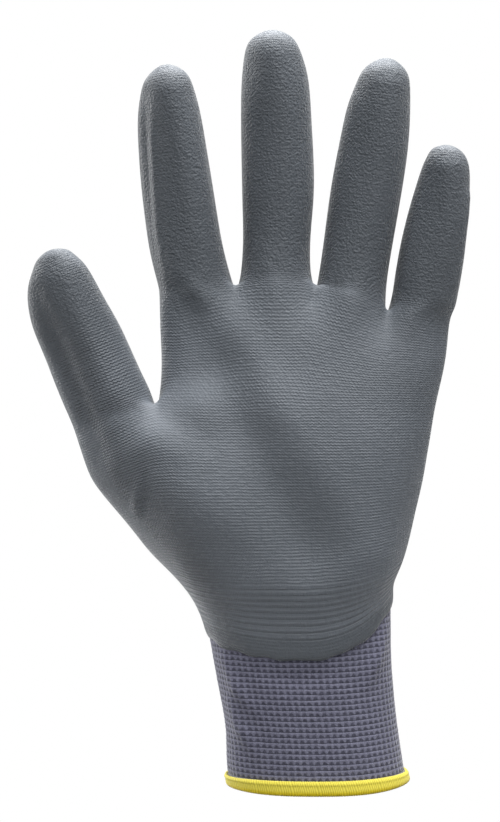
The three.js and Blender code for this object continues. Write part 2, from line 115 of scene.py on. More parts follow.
CUFF = table(
    "at thumb_side little_side palm back",
    (0, 0.498, 0.506, 0.51, 0.5),
    (0.12, 0.512, 0.484, 0.5, 0.5),
    (0.4, 0.522, 0.447, 0.49, 0.5),
    (0.7, 0.566, 0.424, 0.485, 0.49),
    (1, 0.609, 0.421, 0.49, 0.485),
)
LOWER_HAND = table(
    "at thumb_side little_side palm back",
    (0, 0.375, 0.26, 0.48, 0.475),
    (0.1, 0.411, 0.261, 0.49, 0.465),
    (0.19, 0.48, 0.288, 0.5, 0.455),
    (0.28, 0.579, 0.315, 0.51, 0.445),
    (0.37, 0.655, 0.335, 0.51, 0.435),
    (0.46, 0.744, 0.357, 0.5, 0.425),
    (0.54, 0.789, 0.373, 0.48, 0.415),
    (0.61, 0.817, 0.387, 0.46, 0.405),
    (0.686, 0.858, 0.403, 0.44, 0.395),
)
UPPER_HAND = table(
    "at thumb_side little_side palm back",
    (0.686, 0.541, 0.403, 0.43, 0.395),
    (0.75, 0.529, 0.422, 0.4, 0.375),
    (0.83, 0.53, 0.44, 0.36, 0.35),
    (1, 0.536, 0.463, 0.29, 0.29),
)
FINGER_RIM = table(
    "across up",
    (-0.536, 0.968),
    (-0.276, 1),
    (-0.007, 1.002),
    (0.242, 0.933),
    (0.463, 0.911),
)
thick = (UPPER_HAND["palm"][-1] + UPPER_HAND["back"][-1]) * HAND_DEPTH
print("at the finger roots the hand is", round(thick, 1), "mm thick")

# %% Mounds and fingers
MOUNDS = [
    {"name": "ball of the thumb", "across": -0.44, "up": 0.4, "wide": 0.2, "tall": 0.2, "height": 0.12},
    {"name": "heel of the hand", "across": 0.17, "up": 0.32, "wide": 0.16, "tall": 0.24, "height": 0.07},
    {"name": "middle of the palm", "across": 0.1, "up": 0.6, "wide": 0.3, "tall": 0.17, "height": 0.065},
]
FINGERS = [
    {
        "name": "thumb", "length": 58.4, "depth": 25, "lean": -22, "curl": 0.154,
        "outline": table(
            "at width sway",
            (0, 1.08, 0), (0.25, 1.065, -0.019), (0.5, 1.03, -0.028), (0.7, 0.955, -0.05),
            (0.85, 0.8, -0.015), (0.94, 0.55, 0.02), (0.975, 0.4, 0.03),
        ),
    },
    {
        "name": "index", "length": 73, "depth": 21.5, "lean": -7.5, "curl": 0.096,
        "outline": table(
            "at width sway",
            (0, 0.96, 0), (0.2, 0.955, -0.072), (0.45, 0.935, -0.088), (0.65, 0.885, -0.082),
            (0.8, 0.81, -0.068), (0.9, 0.68, -0.05), (0.94, 0.585, -0.04), (0.975, 0.4, -0.03),
        ),
    },
    {
        "name": "middle", "length": 81, "depth": 22.5, "lean": -0.8, "curl": 0.099,
        "outline": table(
            "at width sway",
            (0, 0.92, 0), (0.15, 0.85, 0.019), (0.4, 0.91, 0.05), (0.65, 0.89, 0.038),
            (0.8, 0.845, 0.03), (0.9, 0.735, 0.012), (0.94, 0.645, 0), (0.975, 0.48, 0),
        ),
    },
    {
        "name": "ring", "length": 77, "depth": 21.5, "lean": 8, "curl": 0.104,
        "outline": table(
            "at width sway",
            (0, 0.97, -0.01), (0.2, 0.955, -0.01), (0.45, 0.985, 0), (0.65, 0.955, 0.015),
            (0.8, 0.87, 0.015), (0.9, 0.73, 0.03), (0.94, 0.64, 0.035), (0.975, 0.44, 0.04),
        ),
    },
    {
        "name": "little", "length": 55, "depth": 19.5, "lean": 8.6, "curl": 0.109,
        "outline": table(
            "at width sway",
            (0, 1, 0.04), (0.2, 1.02, 0.055), (0.4, 1.01, 0.06), (0.6, 0.92, 0.06),
            (0.8, 0.8, 0.075), (0.92, 0.65, 0.07), (0.98, 0.42, 0.05),
        ),
    },
]
print("fingers:", [finger["name"] for finger in FINGERS])

# %% Rows and columns of the surface
HAND_SECTION = {"power": 2.4, "corner": 0.9}
STALL_SECTION = {"power": 2.15, "corner": 0.78}
CROTCH_PINCH = 0.62
THUMB_PINCH = [0.66, 0.8, 0.92]
PINCH_FROM = 0.55
RELIEF_FULL = 0.7
THUMB_ROOT = {"start": 0.35, "end": 0.8, "foot": 0.15, "top": 0.6}
CUFF_ROWS = [0.12, 0.32, 0.54, 0.77]
LOWER_ROWS = [0.1, 0.19, 0.28, 0.37, 0.46, 0.54, 0.61]
UPPER_ROWS = 3
STALL_ROWS = [0.2, 0.35, 0.5, 0.65, 0.78, 0.87, 0.935, 0.975]
DIP_ROW = 0.7
FACE_STEPS = 4
SIDE_STEPS = 4
THUMB_CROTCH = UPPER_HAND["at"][0]
LOWER_STEPS = 5 * FACE_STEPS
UPPER_STEPS = 4 * FACE_STEPS
print("the palm side has", LOWER_STEPS, "columns, and each finger", FACE_STEPS)


# %% Smooth curves through a table
def clamp(value, low=0.0, high=1.0):
    return min(max(value, low), high)


def lerp(a, b, share):
    return a + (b - a) * share


def smoothstep(value, low, high):
    t = clamp((value - low) / (high - low))
    return t * t * (3 - 2 * t)


def sample(rows, at, column):
    """A value from one column of a table, on a smooth curve through its rows."""
    places, values = rows["at"], rows[column]
    last = len(places) - 1
    i = 0
    while i < last - 1 and at > places[i + 1]:
        i += 1
    span = places[i + 1] - places[i]
    t = clamp((at - places[i]) / span)

    def slope(p, q):
        return (values[q] - values[p]) / (places[q] - places[p])

    leaving = slope(max(i - 1, 0), i + 1) * span
    arriving = slope(i, min(i + 2, last)) * span
    blend = lerp(values[i], values[i + 1], t * t * (3 - 2 * t))
    return blend + t * (1 - t) * ((1 - t) * leaving - t * arriving)


print("half way up, the thumb is", sample(FINGERS[0]["outline"], 0.5, "width"), "times its root's width")

# %% [markdown]
# ## Sections
#
# A section of the hand is a rounded rectangle, which is a superellipse: the higher its power, the
# squarer it is. Its places are spread evenly over the palm side and the back and bunched round the
# two sides, so that the rows of faces of the hand run straight on into the fingers.

# %% Sections
def superellipse(other, power):
    return max(0.0, 1 - abs(other) ** power) ** (1 / power)


def slots_around(columns, shape):
    """Places round a section of half size 1: palm side, little side, back and thumb side."""
    power, corner = shape["power"], shape["corner"]
    across = [corner * (2 * share - 1) for share in columns]
    face = [(x, -superellipse(x, power)) for x in across]
    back = [(x, superellipse(x, power)) for x in reversed(across)]
    edge = superellipse(corner, power)
    heights = [edge * (2 * i / SIDE_STEPS - 1) for i in range(1, SIDE_STEPS)]
    side = [(superellipse(y, power), y) for y in heights]
    return face + side + back + [(-x, -y) for x, y in side]


def column_of(place, steps):
    """The column of a section's face that a place round it belongs to."""
    if place <= steps:
        return place
    if place < steps + SIDE_STEPS:
        return steps
    return max(0, 2 * steps + SIDE_STEPS - place)


def evenly(steps):
    return [i / steps for i in range(steps + 1)]


# %% Points of the cuff and the hand
def wrist_rise(x, y):
    """The wrist row climbs from the middle of the palm to both edges, and is straight on the back."""
    edge = np.where(x < 0, RISE_AT_THUMB_SIDE, RISE_AT_LITTLE_SIDE)
    palm_side = lerp(RISE_IN_FRONT, edge, np.abs(x) ** RISE_STEEPNESS)
    back = lerp(RISE_AT_THUMB_SIDE, RISE_AT_LITTLE_SIDE, (1 + x) / 2)
    return np.where(y <= 0, palm_side, back)


def section_point(rows, at, slot, sizes, base, drop=0.0):
    """A place of a section in millimetres. The drop lowers what lies beyond the thumb's crotch."""
    width, depth, length = sizes
    thumb_edge = -sample(rows, at - drop / length, "thumb_side") * width
    little_edge = sample(rows, at, "little_side") * width
    reach = sample(rows, at, "palm" if slot[1] < 0 else "back") * depth
    x = lerp(thumb_edge, little_edge, (1 + slot[0]) / 2)
    crotch = -UPPER_HAND["thumb_side"][0] * width
    lowered = drop * clamp((crotch - x) / (crotch - thumb_edge)) if drop else 0.0
    return Vector((x, slot[1] * reach, base + length * at - lowered))


def cuff_point(at, slot):
    """A point of the cuff, whose rows take up more and more of the wrist row's climb."""
    point = section_point(CUFF, at, slot, (CUFF_WIDTH, CUFF_DEPTH, WRIST_HEIGHT - CUFF_FOOT), CUFF_FOOT)
    point.z += wrist_rise(*slot) * lerp(RISE_AT_HEM, 1, at)
    return point


def hand_point(rows, at, slot, drop=0.0):
    """A point of the hand, lifted by the palm's mounds and carried forward with the thumb's root."""
    point = section_point(rows, at, slot, (HAND_WIDTH, HAND_DEPTH, PALM_LENGTH), WRIST_HEIGHT, drop)
    across = point.x / HAND_WIDTH
    up = (point.z - WRIST_HEIGHT) / PALM_LENGTH
    lift = 0.0
    for mound in MOUNDS:
        dx = (across - mound["across"]) / mound["wide"]
        dz = (up - mound["up"]) / mound["tall"]
        lift += mound["height"] * HAND_DEPTH * math.exp(-dx * dx - dz * dz)
    point.y -= lift * clamp(-slot[1] / RELIEF_FULL)
    root = THUMB_ROOT
    point.y -= (
        THUMB_FORWARD
        * smoothstep(-across, root["start"], root["end"])
        * smoothstep(up, root["foot"], root["top"])
    )
    return point


print("a section of the hand has", len(slots_around(evenly(LOWER_STEPS), HAND_SECTION)), "places")

# %% [markdown]
# ## Growing the surface
#
# The glove's outer surface is grown the way it is knitted: a ring at the foot of the cuff is extruded
# upwards row by row, and each new ring is moved to its section. At the thumb and between the fingers
# the ring is parted by a web of new points, and each part grows on by itself. The alternative, to join
# six tubes with booleans, would leave ragged seams that no subdivision surface smooths. A UV map is
# written on the way: U counts wales, the columns of stitches, and V counts courses, their rows. Each
# face also notes whether the dip will reach it.

# %% Rings
COURSE = 0.95
WALES_A_STEP = 3

cage = bmesh.new()
knit_uv = cage.loops.layers.uv.new("knit")
coat_layer = cage.faces.layers.int.new("coated")


class Ring:
    """A closed row of vertices, with the wale at each of them and the course that it lies on."""

    def __init__(self, verts, wales, course, steps):
        self.verts, self.wales, self.course, self.steps = verts, wales, course, steps


def first_ring(points):
    verts = bmesh.ops.create_circle(cage, segments=len(points), radius=1)["verts"]
    for vert, point in zip(verts, points):
        vert.co = point
    return Ring(list(verts), [WALES_A_STEP * i for i in range(len(points))], 0.0, LOWER_STEPS)


def is_coated(place, ring, dip):
    """The dip covers nothing, all but the back, or the cloth all round."""
    on_back = ring.steps + SIDE_STEPS <= place < 2 * ring.steps + SIDE_STEPS
    return dip == "all round" or (dip == "palm" and not on_back)


# %% Growing and parting
def grow(ring, points, dip="nothing"):
    """Extrudes a ring, moves the new ring to its points and writes the new faces' knit and dip."""
    pairs = list(zip(ring.verts, ring.verts[1:] + ring.verts[:1]))
    edges = [cage.edges.get(pair) for pair in pairs]
    fresh = bmesh.ops.extrude_edge_only(cage, edges=edges)["geom"]
    new = {item for item in fresh if isinstance(item, bmesh.types.BMVert)}
    upper = [next(e.other_vert(v) for e in v.link_edges if e.other_vert(v) in new) for v in ring.verts]
    for vert, point in zip(upper, points):
        vert.co = point
    gap = sum((a.co - b.co).length for a, b in zip(ring.verts, upper)) / len(upper)
    grown = Ring(upper, ring.wales, ring.course + gap / COURSE, ring.steps)
    faces = {frozenset(f.verts): f for f in fresh if isinstance(f, bmesh.types.BMFace)}
    for i, (left, right) in enumerate(pairs):
        over_left, over_right = upper[i], upper[(i + 1) % len(upper)]
        face = faces[frozenset((left, right, over_left, over_right))]
        wale = ring.wales[i]
        knit = {
            left: (wale, ring.course),
            right: (wale + WALES_A_STEP, ring.course),
            over_left: (wale, grown.course),
            over_right: (wale + WALES_A_STEP, grown.course),
        }
        for loop in face.loops:
            loop[knit_uv].uv = knit[loop.vert]
        face[coat_layer] = is_coated(i, ring, dip)
    return grown


def part_ring(ring):
    """Parts a ring by a web from a crotch on the palm side to the one on the back."""
    back_place = 2 * ring.steps + SIDE_STEPS - FACE_STEPS
    front, back = ring.verts[FACE_STEPS], ring.verts[back_place]
    web = [cage.verts.new(front.co.lerp(back.co, i / SIDE_STEPS)) for i in range(1, SIDE_STEPS)]
    for a, b in zip([front] + web, web + [back]):
        cage.edges.new((a, b))
    here, there = ring.wales[FACE_STEPS], ring.wales[back_place]
    near_wales = [here + WALES_A_STEP * i for i in range(1, SIDE_STEPS)]
    far_wales = [there + WALES_A_STEP * i for i in range(1, SIDE_STEPS)]
    near = Ring(
        ring.verts[: FACE_STEPS + 1] + web + ring.verts[back_place:],
        ring.wales[: FACE_STEPS + 1] + near_wales + ring.wales[back_place:],
        ring.course,
        FACE_STEPS,
    )
    far = Ring(
        ring.verts[FACE_STEPS : back_place + 1] + web[::-1],
        ring.wales[FACE_STEPS : back_place + 1] + far_wales,
        ring.course,
        ring.steps - FACE_STEPS,
    )
    return near, far


# %% The cuff's rows
cuff_slots = slots_around(evenly(LOWER_STEPS), HAND_SECTION)
ring = first_ring([cuff_point(0, slot) for slot in cuff_slots])
for at in CUFF_ROWS:
    ring = grow(ring, [cuff_point(at, slot) for slot in cuff_slots])
print("the cuff has", len(cage.faces), "faces")

# %% [markdown]
# ## The hand
#
# Up to the thumb's crotch the hand is one tube that widens on the thumb side. The crotch is drawn
# together, as cloth is between two fingers, and the palm then grows on to the finger roots while its
# columns slide to where the fingers part. The dip reaches the whole palm side from the wrist upwards.

# %% Rows of the hand
def lower_columns(at):
    """Even columns at the wrist, parted where the thumb's own columns end at the crotch."""
    thumb_edge = sample(LOWER_HAND, THUMB_CROTCH - THUMB_DROP / PALM_LENGTH, "thumb_side")
    crotch, little_edge = UPPER_HAND["thumb_side"][0], UPPER_HAND["little_side"][0]
    place = 2 * (thumb_edge - crotch) / (thumb_edge + little_edge) - 1
    parting = (place / HAND_SECTION["corner"] + 1) / 2
    columns = []
    for i, even in enumerate(evenly(LOWER_STEPS)):
        thumb_share = parting * i / FACE_STEPS
        palm_share = lerp(parting, 1, (i - FACE_STEPS) / UPPER_STEPS)
        columns.append(lerp(even, thumb_share if i < FACE_STEPS else palm_share, at / THUMB_CROTCH))
    return columns


def lower_points(at):
    up = at / THUMB_CROTCH
    points = []
    for slot in slots_around(lower_columns(at), HAND_SECTION):
        point = hand_point(LOWER_HAND, at, slot, THUMB_DROP * up**2)
        point.z += wrist_rise(*slot) * (1 - up) ** 2
        points.append(point)
    return points


def along(values, place):
    i = min(len(values) - 2, math.floor(place))
    return lerp(values[i], values[i + 1], place - i)


def upper_points(share):
    """A ring part of the way from the thumb's crotch to the finger rim."""
    first, last = FINGER_RIM["across"][0], FINGER_RIM["across"][-1]
    partings = []
    for across in FINGER_RIM["across"]:
        place = 2 * (across - first) / (last - first) - 1
        partings.append((clamp(place / HAND_SECTION["corner"], -1, 1) + 1) / 2)
    columns = [lerp(e, along(partings, i / FACE_STEPS), share) for i, e in enumerate(evenly(UPPER_STEPS))]
    points = []
    for place, slot in enumerate(slots_around(columns, HAND_SECTION)):
        column = column_of(place, UPPER_STEPS)
        up = lerp(THUMB_CROTCH, along(FINGER_RIM["up"], column / FACE_STEPS), share)
        point = hand_point(UPPER_HAND, up, slot)
        to_crotch = math.cos(math.pi * column / FACE_STEPS) ** 2
        near_edge = min(column, UPPER_STEPS - column) < FACE_STEPS / 2
        pinch = 1 if near_edge else lerp(1, CROTCH_PINCH, to_crotch)
        point.y *= lerp(1, pinch, smoothstep(share, PINCH_FROM, 1))
        points.append(point)
    return points


# %% The hand
ring = grow(ring, lower_points(0))
print("the wrist lies on course", round(ring.course, 2))
for at in LOWER_ROWS + [THUMB_CROTCH]:
    ring = grow(ring, lower_points(at), "palm")
front, back = FACE_STEPS, 2 * LOWER_STEPS + SIDE_STEPS - FACE_STEPS
middle = (ring.verts[front].co.y + ring.verts[back].co.y) / 2
for away, pinch in enumerate(THUMB_PINCH):
    for place in {front - away, front + away, back - away, back + away}:
        vert = ring.verts[place]
        vert.co.y = lerp(middle, vert.co.y, pinch)
thumb_root, palm_ring = part_ring(ring)
for row in range(UPPER_ROWS):
    palm_ring = grow(palm_ring, upper_points((row + 1) / UPPER_ROWS), "palm")
print("with the hand it has", len(cage.faces), "faces")

# %% [markdown]
# ## The fingers
#
# Each finger is a short collar on its part of the rim, then rings along a middle line that leans and
# curls, and a domed cap. The cap is a small grid of faces, so that there is no pole on the fingertip,
# where the light would show one at once. The dip goes right round each fingertip.

# %% Rings of a finger
CAP_RISE = 1.05


def add_finger(finger, root):
    lean = math.radians(finger["lean"])
    up = Vector((math.sin(lean), 0, math.cos(lean)))
    across = Vector((up.z, 0, -up.x))
    corners = np.array([vert.co for vert in root.verts])
    low, high = corners.min(0), corners.max(0)
    base = Vector((low + high) / 2)
    root_width = high[0] - low[0]
    outline, length = finger["outline"], finger["length"]

    def middle_line(at):
        sway = root_width * sample(outline, at, "sway")
        return base + up * length * at + across * sway + Vector((0, -length * finger["curl"] * at * at, 0))

    def points(at):
        share = sample(outline, at, "width")
        row = []
        for x, y in slots_around(evenly(FACE_STEPS), STALL_SECTION):
            point = middle_line(at) + across * (x * root_width * share / 2)
            point.y += y * finger["depth"] * share / outline["width"][0] / 2
            row.append(point)
        return row

    ring = grow(root, points(COLLAR / length), "palm")
    for at in STALL_ROWS:
        ring = grow(ring, points(at), "all round" if at > DIP_ROW else "palm")
    add_cap(ring, middle_line(1))


def add_cap(ring, tip):
    """Closes a fingertip with a grid of faces that domes up to just past the tip."""
    end = FACE_STEPS + 1
    front = ring.verts[:end]
    little = ring.verts[end : end + SIDE_STEPS - 1]
    back = ring.verts[end + SIDE_STEPS - 1 : 2 * end + SIDE_STEPS - 1][::-1]
    thumb = ring.verts[2 * end + SIDE_STEPS - 1 :][::-1]
    middle = sum((vert.co for vert in ring.verts), Vector()) / len(ring.verts)
    rise = (tip - middle) * CAP_RISE
    grid = [front]
    for j, edge in enumerate(thumb):
        y = 2 * (j + 1) / SIDE_STEPS - 1
        row = [edge]
        for i in range(1, FACE_STEPS):
            x = 2 * i / FACE_STEPS - 1
            point = front[i].co.lerp(back[i].co, (1 + y) / 2) + rise * math.sqrt((1 - x * x) * (1 - y * y))
            row.append(cage.verts.new(point))
        grid.append(row + [little[j]])
    grid.append(back)
    for j in range(SIDE_STEPS):
        for i in range(FACE_STEPS):
            face = cage.faces.new((grid[j][i], grid[j][i + 1], grid[j + 1][i + 1], grid[j + 1][i]))
            face[coat_layer] = True
            for loop in face.loops:
                row = next(r for r in (j, j + 1) if loop.vert in grid[r])
                column = grid[row].index(loop.vert)
                climb = (loop.vert.co - front[column].co).length / COURSE
                loop[knit_uv].uv = (ring.wales[0] + WALES_A_STEP * column, ring.course + climb)


# %% The fingers
add_finger(FINGERS[0], thumb_root)
for finger in FINGERS[1:]:
    if palm_ring.steps > FACE_STEPS:
        root, palm_ring = part_ring(palm_ring)
    else:
        root = palm_ring
    add_finger(finger, root)
bmesh.ops.recalc_face_normals(cage, faces=cage.faces)
print("the whole cage has", len(cage.verts), "points and", len(cage.faces), "faces")

# %% [markdown]
# ## A cage that keeps its size
#
# A subdivision surface rounds its cage off, so it lies inside the points that it is made from. Each
# point is therefore moved out by as much as the smooth surface misses it, a few times over. The
# smooth glove then passes through the points that the sections gave.

# %% Where the smooth surface passes
def limit_points(places, around):
    """Where the smooth surface passes below each point of the cage."""
    limits = places.copy()
    for i, (edge_ends, diagonals) in enumerate(around):
        if diagonals:
            n = len(edge_ends)
            total = n * n * places[i] + 4 * places[edge_ends].sum(0) + places[diagonals].sum(0)
            limits[i] = total / (n * (n + 5))
        else:
            limits[i] = (4 * places[i] + places[edge_ends].sum(0)) / 6
    return limits


def neighbours(vert):
    if any(edge.is_boundary for edge in vert.link_edges):
        return [e.other_vert(vert).index for e in vert.link_edges if e.is_boundary], []
    ends = [edge.other_vert(vert).index for edge in vert.link_edges]
    diagonals = []
    for face in vert.link_faces:
        corners = [corner.index for corner in face.verts]
        diagonals.append(corners[(corners.index(vert.index) + 2) % 4])
    return ends, diagonals


# %% A cage that keeps its size
ROUNDS_OF_MENDING = 6

cage.verts.index_update()
cage.verts.ensure_lookup_table()
around = [neighbours(vert) for vert in cage.verts]
wanted = np.array([vert.co for vert in cage.verts])
places = wanted.copy()
for _ in range(ROUNDS_OF_MENDING):
    places += wanted - limit_points(places, around)
for vert, place in zip(cage.verts, places):
    vert.co = place
miss = np.abs(wanted - limit_points(places, around)).max()
print("the smooth surface misses its points by at most", round(float(miss), 3), "mm")

# %% [markdown]
# ## Folds
#
# A worn glove isn't smooth: the cloth creases where the thumb swings in, hollows between the ball of
# the thumb and the palm, and puckers at the crotches. Each fold here is a line placed on the
# photograph, with a width and a height in millimetres. It lifts or sinks whatever cloth lies under it,
# so the liner follows the coating. A cloth simulation would invent folds of its own, and these have to
# lie where the photograph shows them.

# %% Folds
def fold(name, wide, *path):
    """A line over the photograph: each point is a pixel's place and how high the cloth stands there."""
    return {"name": name, "wide": wide, "path": path}


FOLDS = [
    fold("crest of the palm", 7, (226, 312, 1), (250, 352, 1.5), (282, 412, 1.3), (320, 472, 0.9),
         (348, 522, 0.6), (372, 560, 0)),
    fold("crease of the thumb", 7, (194, 322, -0.7), (214, 366, -1.1), (240, 424, -1.5),
         (276, 488, -1.5), (306, 538, -1), (335, 575, 0)),
    fold("ball of the thumb", 9, (135, 450, 0.8), (190, 485, 1.4), (240, 530, 1.4), (290, 575, 0.6)),
    fold("edge of the heel", 8, (205, 568, 0.9), (250, 580, 1.5), (310, 585, 1.6), (372, 560, 1.3)),
    fold("web of the thumb", 5, (150, 444, 0.6), (178, 450, 1), (204, 458, 0.5)),
    fold("above the web", 5, (178, 366, 0.5), (200, 358, 0.5)),
    fold("fold at the thumb's root", 1.6, (146, 474, 0), (140, 495, 0.9), (137, 522, 0)),
    fold("behind that fold", 1.8, (150, 470, 0), (146, 495, -0.8), (144, 520, 0)),
    fold("groove of the thumb", 3.2, (40, 298, -0.8), (60, 345, -1.6), (82, 400, -1.6),
         (102, 450, -1), (108, 480, 0)),
    fold("crest of the thumb", 5, (72, 285, 0.8), (90, 340, 1.8), (114, 392, 1.2)),
    fold("root of the index finger", 3.5, (196, 292, 1.6), (204, 300, 1.2)),
    fold("flat side of the index finger", 1.8, (145, 100, -0.5), (144, 150, -1.3), (148, 230, -1.3),
         (162, 310, 0)),
    fold("crease beside it", 0.8, (156, 100, 0), (153, 140, 0.3), (158, 230, 0.3), (170, 310, 0)),
    fold("index fingertip", 5.5, (172, 96, 2.6), (184, 150, 2.3), (200, 240, 1.2), (208, 280, 0)),
    fold("middle fingertip", 6, (275, 62, 2.4), (284, 120, 1.9), (289, 210, 0.4)),
    fold("ring fingertip", 5.5, (385, 92, 2.4), (382, 150, 1.7), (372, 235, 0.3)),
    fold("little fingertip", 5, (449, 172, 2.8), (450, 215, 2.5), (440, 290, 0.5)),
    fold("side of the little finger", 2.5, (464, 200, 0.8), (454, 285, 0.8)),
    fold("pucker by the middle finger", 1, (314, 288, -0.4), (312, 300, -0.8), (308, 309, 0)),
    fold("cuff fold, upper left", 2.2, (222, 656, 0.6), (236, 684, 1.6), (258, 715, 0)),
    fold("cuff fold, lower left", 2.2, (228, 698, 0.6), (242, 726, 1.5), (258, 758, 0)),
    fold("left side of the cuff", 4.5, (228, 690, 0.4), (232, 725, 0.7), (234, 765, 0.4)),
    fold("cuff hollow under the coating", 3, (262, 668, -0.3), (295, 674, -0.8), (335, 668, -0.3)),
    fold("cuff fold, right", 2.4, (388, 628, 0.8), (376, 658, 1.4), (362, 690, 0)),
]
print(len(FOLDS), "folds")

# %% How far the folds lift the cloth
FADE_TO_BACK = 1.6


def fold_lift(places, normals):
    """How far the folds lift each point of the cloth, in millimetres. Only the palm side is folded."""
    spots = places[:, [0, 2]]
    lift = np.zeros(len(places))
    for line in FOLDS:
        path = np.array([from_photo(px, py) for px, py, high in line["path"]])
        highs = [high for px, py, high in line["path"]]
        nearest = np.full(len(spots), 1e9)
        high_there = np.zeros(len(spots))
        for i in range(len(path) - 1):
            along_it = path[i + 1] - path[i]
            t = np.clip(((spots - path[i]) @ along_it) / (along_it @ along_it), 0, 1)
            away = np.linalg.norm(spots - (path[i] + t[:, None] * along_it), axis=1)
            high_there = np.where(away < nearest, lerp(highs[i], highs[i + 1], t), high_there)
            nearest = np.minimum(nearest, away)
        lift += high_there * np.exp(-((nearest / line["wide"]) ** 2))
    return lift * np.clip(-FADE_TO_BACK * normals[:, 1], 0, 1)


# %% [markdown]
# ## From the cage to a cloth
#
# Both the liner and the coating are parts of the same smooth surface. A Subdivision Surface modifier
# makes it from the cage, and its result is taken as a new mesh whose points can be moved one by one.

# %% From the cage to a cloth
def smooth_cloth(name, levels, coated_only):
    """The cage's smooth surface, or only its coated faces, and the way out at each of its points."""
    mesh = bpy.data.meshes.new(name)
    cage.to_mesh(mesh)
    holder = bpy.data.objects.new(name, mesh)
    bpy.context.scene.collection.objects.link(holder)
    smooth = holder.modifiers.new("smooth", "SUBSURF")
    smooth.levels = smooth.render_levels = levels
    whole = bpy.data.meshes.new_from_object(holder.evaluated_get(bpy.context.evaluated_depsgraph_get()))
    bpy.data.objects.remove(holder)
    cloth = bmesh.new()
    cloth.from_mesh(whole)
    coated = cloth.faces.layers.int["coated"]
    unwanted = [face for face in cloth.faces if coated_only and not face[coated]]
    cloth.normal_update()
    for vert in cloth.verts:
        vert.normal_update()
    outward = {vert: vert.normal.copy() for vert in cloth.verts}
    bmesh.ops.delete(cloth, geom=unwanted, context="FACES")
    kept = [outward[vert] for vert in cloth.verts]
    return cloth, np.array(kept)


# %% Small helpers for a cloth
def places_of(cloth):
    return np.array([vert.co for vert in cloth.verts])


def move_to(cloth, places):
    for vert, place in zip(cloth.verts, places):
        vert.co = place


def rims(cloth):
    return [edge for edge in cloth.edges if edge.is_boundary]


# %% A finished piece
def new_piece(cloth, name, slot, *nodes):
    """Makes the finished object, in metres, and hides the CAD nodes that it stands for."""
    bmesh.ops.scale(cloth, vec=(MM, MM, MM), verts=cloth.verts)
    mesh = bpy.data.meshes.new(name)
    cloth.to_mesh(mesh)
    mesh.polygons.foreach_set("use_smooth", [True] * len(mesh.polygons))
    piece = bpy.data.objects.new(name, mesh)
    bpy.context.scene.collection.objects.link(piece)
    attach(piece, "root")
    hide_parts(*nodes)
    triangles = sum(len(polygon.vertices) - 2 for polygon in mesh.polygons)
    print(name, "has", triangles, "triangles")
    return piece


# %% [markdown]
# ## The dipped coating
#
# The palm of the real glove was dipped in liquid polyurethane, which soaks into the knit, so the coat
# is thin and the courses still show through it. It thins out towards its edge and ends in a soft rim.
# An offset copy with one thickness all over would end in a hard step, so the depth here depends on
# how far a point is from the rim, and the rim itself is extruded down into the liner. No dip ends in a
# straight line either: noise lets the rim wander a little, and more so round the fingertips.

# %% The coat and its distance from the rim
RIM_REACH = 3
COAT_LEVELS = 3

coat, outward = smooth_cloth("coat", COAT_LEVELS, True)
places = places_of(coat)
on_rim = np.array([vert.is_boundary for vert in coat.verts])
rim_places = places[on_rim]
tree = KDTree(len(rim_places))
for i, place in enumerate(rim_places):
    tree.insert(place, i)
tree.balance()
to_rim = np.array([tree.find(place)[2] for place in places])
near_rim = np.clip(1 - to_rim / RIM_REACH, 0, 1)
print("no point of the coat is farther than", round(to_rim.max()), "mm from its rim")

# %% The soft, wandering rim
RIM_DEPTH = 0.6
RIM_WANDER = 0.16
RIM_SWEEP = 0.09
SWEEP_ON_FINGERS = 4
FINGERS_FROM = 120
FINGERS_FADE = 20

wander = np.array([noise.noise(Vector(place) * RIM_WANDER) for place in places])
sweep = np.array([noise.noise(Vector(place) * RIM_SWEEP) for place in places])
on_fingers = np.clip((places[:, 2] - FINGERS_FROM) / FINGERS_FADE, 0, 1)
places[:, 2] += (wander + SWEEP_ON_FINGERS * sweep * on_fingers) * near_rim
places += outward * (fold_lift(places, outward) - RIM_DEPTH * near_rim**2)[:, None]
move_to(coat, places)
print("the rim wanders by up to", round(np.abs(wander[on_rim]).max(), 1), "mm on the hand")

# %% The finished coat
COAT_TUCK = 1.1

upward_layer = coat.verts.layers.float.new("upward")
for vert, normal in zip(coat.verts, outward):
    vert[upward_layer] = normal[2]
outward_of = {vert: Vector(normal) for vert, normal in zip(coat.verts, outward)}
down = {vert: vert.co - outward_of[vert] * COAT_TUCK for vert in coat.verts if vert.is_boundary}
lip = bmesh.ops.extrude_edge_only(coat, edges=rims(coat))["geom"]
for vert in [item for item in lip if isinstance(item, bmesh.types.BMVert)]:
    above = next(e.other_vert(vert) for e in vert.link_edges if e.other_vert(vert) in down)
    vert.co = down[above]
palm_coat = new_piece(coat, "dipped_palm_coat", "coating", "palm_coating")

# %% [markdown]
# ## The knitted liner
#
# The liner is one bag of cloth from the hem to the fingertips, open at the wrist: its outside shows on
# the back of the hand, and its inside through the wrist opening. Its outer face is moved in under the
# coating, and deeper under the cuff, which is a piece of its own here and reaches up to CUFF_TOP. It
# follows the same folds, and bmesh's solidify then gives it the thickness of the knit.

# %% The knitted liner
CUFF_TOP = 62
LINER_LEVELS = 2
LINER_DEPTH = 0.7
UNDER_CUFF = 1.5
STEP_BELOW_TOP = 4.55
STEP_TALL = 3.5
KNIT_WALL = 1.1

liner, outward = smooth_cloth("liner", LINER_LEVELS, False)
places = places_of(liner)
into_hand = np.clip((places[:, 2] - CUFF_TOP + STEP_BELOW_TOP) / STEP_TALL, 0, 1)
depth = UNDER_CUFF + (LINER_DEPTH - UNDER_CUFF) * into_hand
places += outward * (fold_lift(places, outward) - depth)[:, None]
move_to(liner, places)
bmesh.ops.solidify(liner, geom=liner.faces[:], thickness=KNIT_WALL)
STALLS = [finger["name"] + "_stall" for finger in FINGERS]
hand_knit = new_piece(liner, "knitted_liner", "liner", "hand_liner", *STALLS)

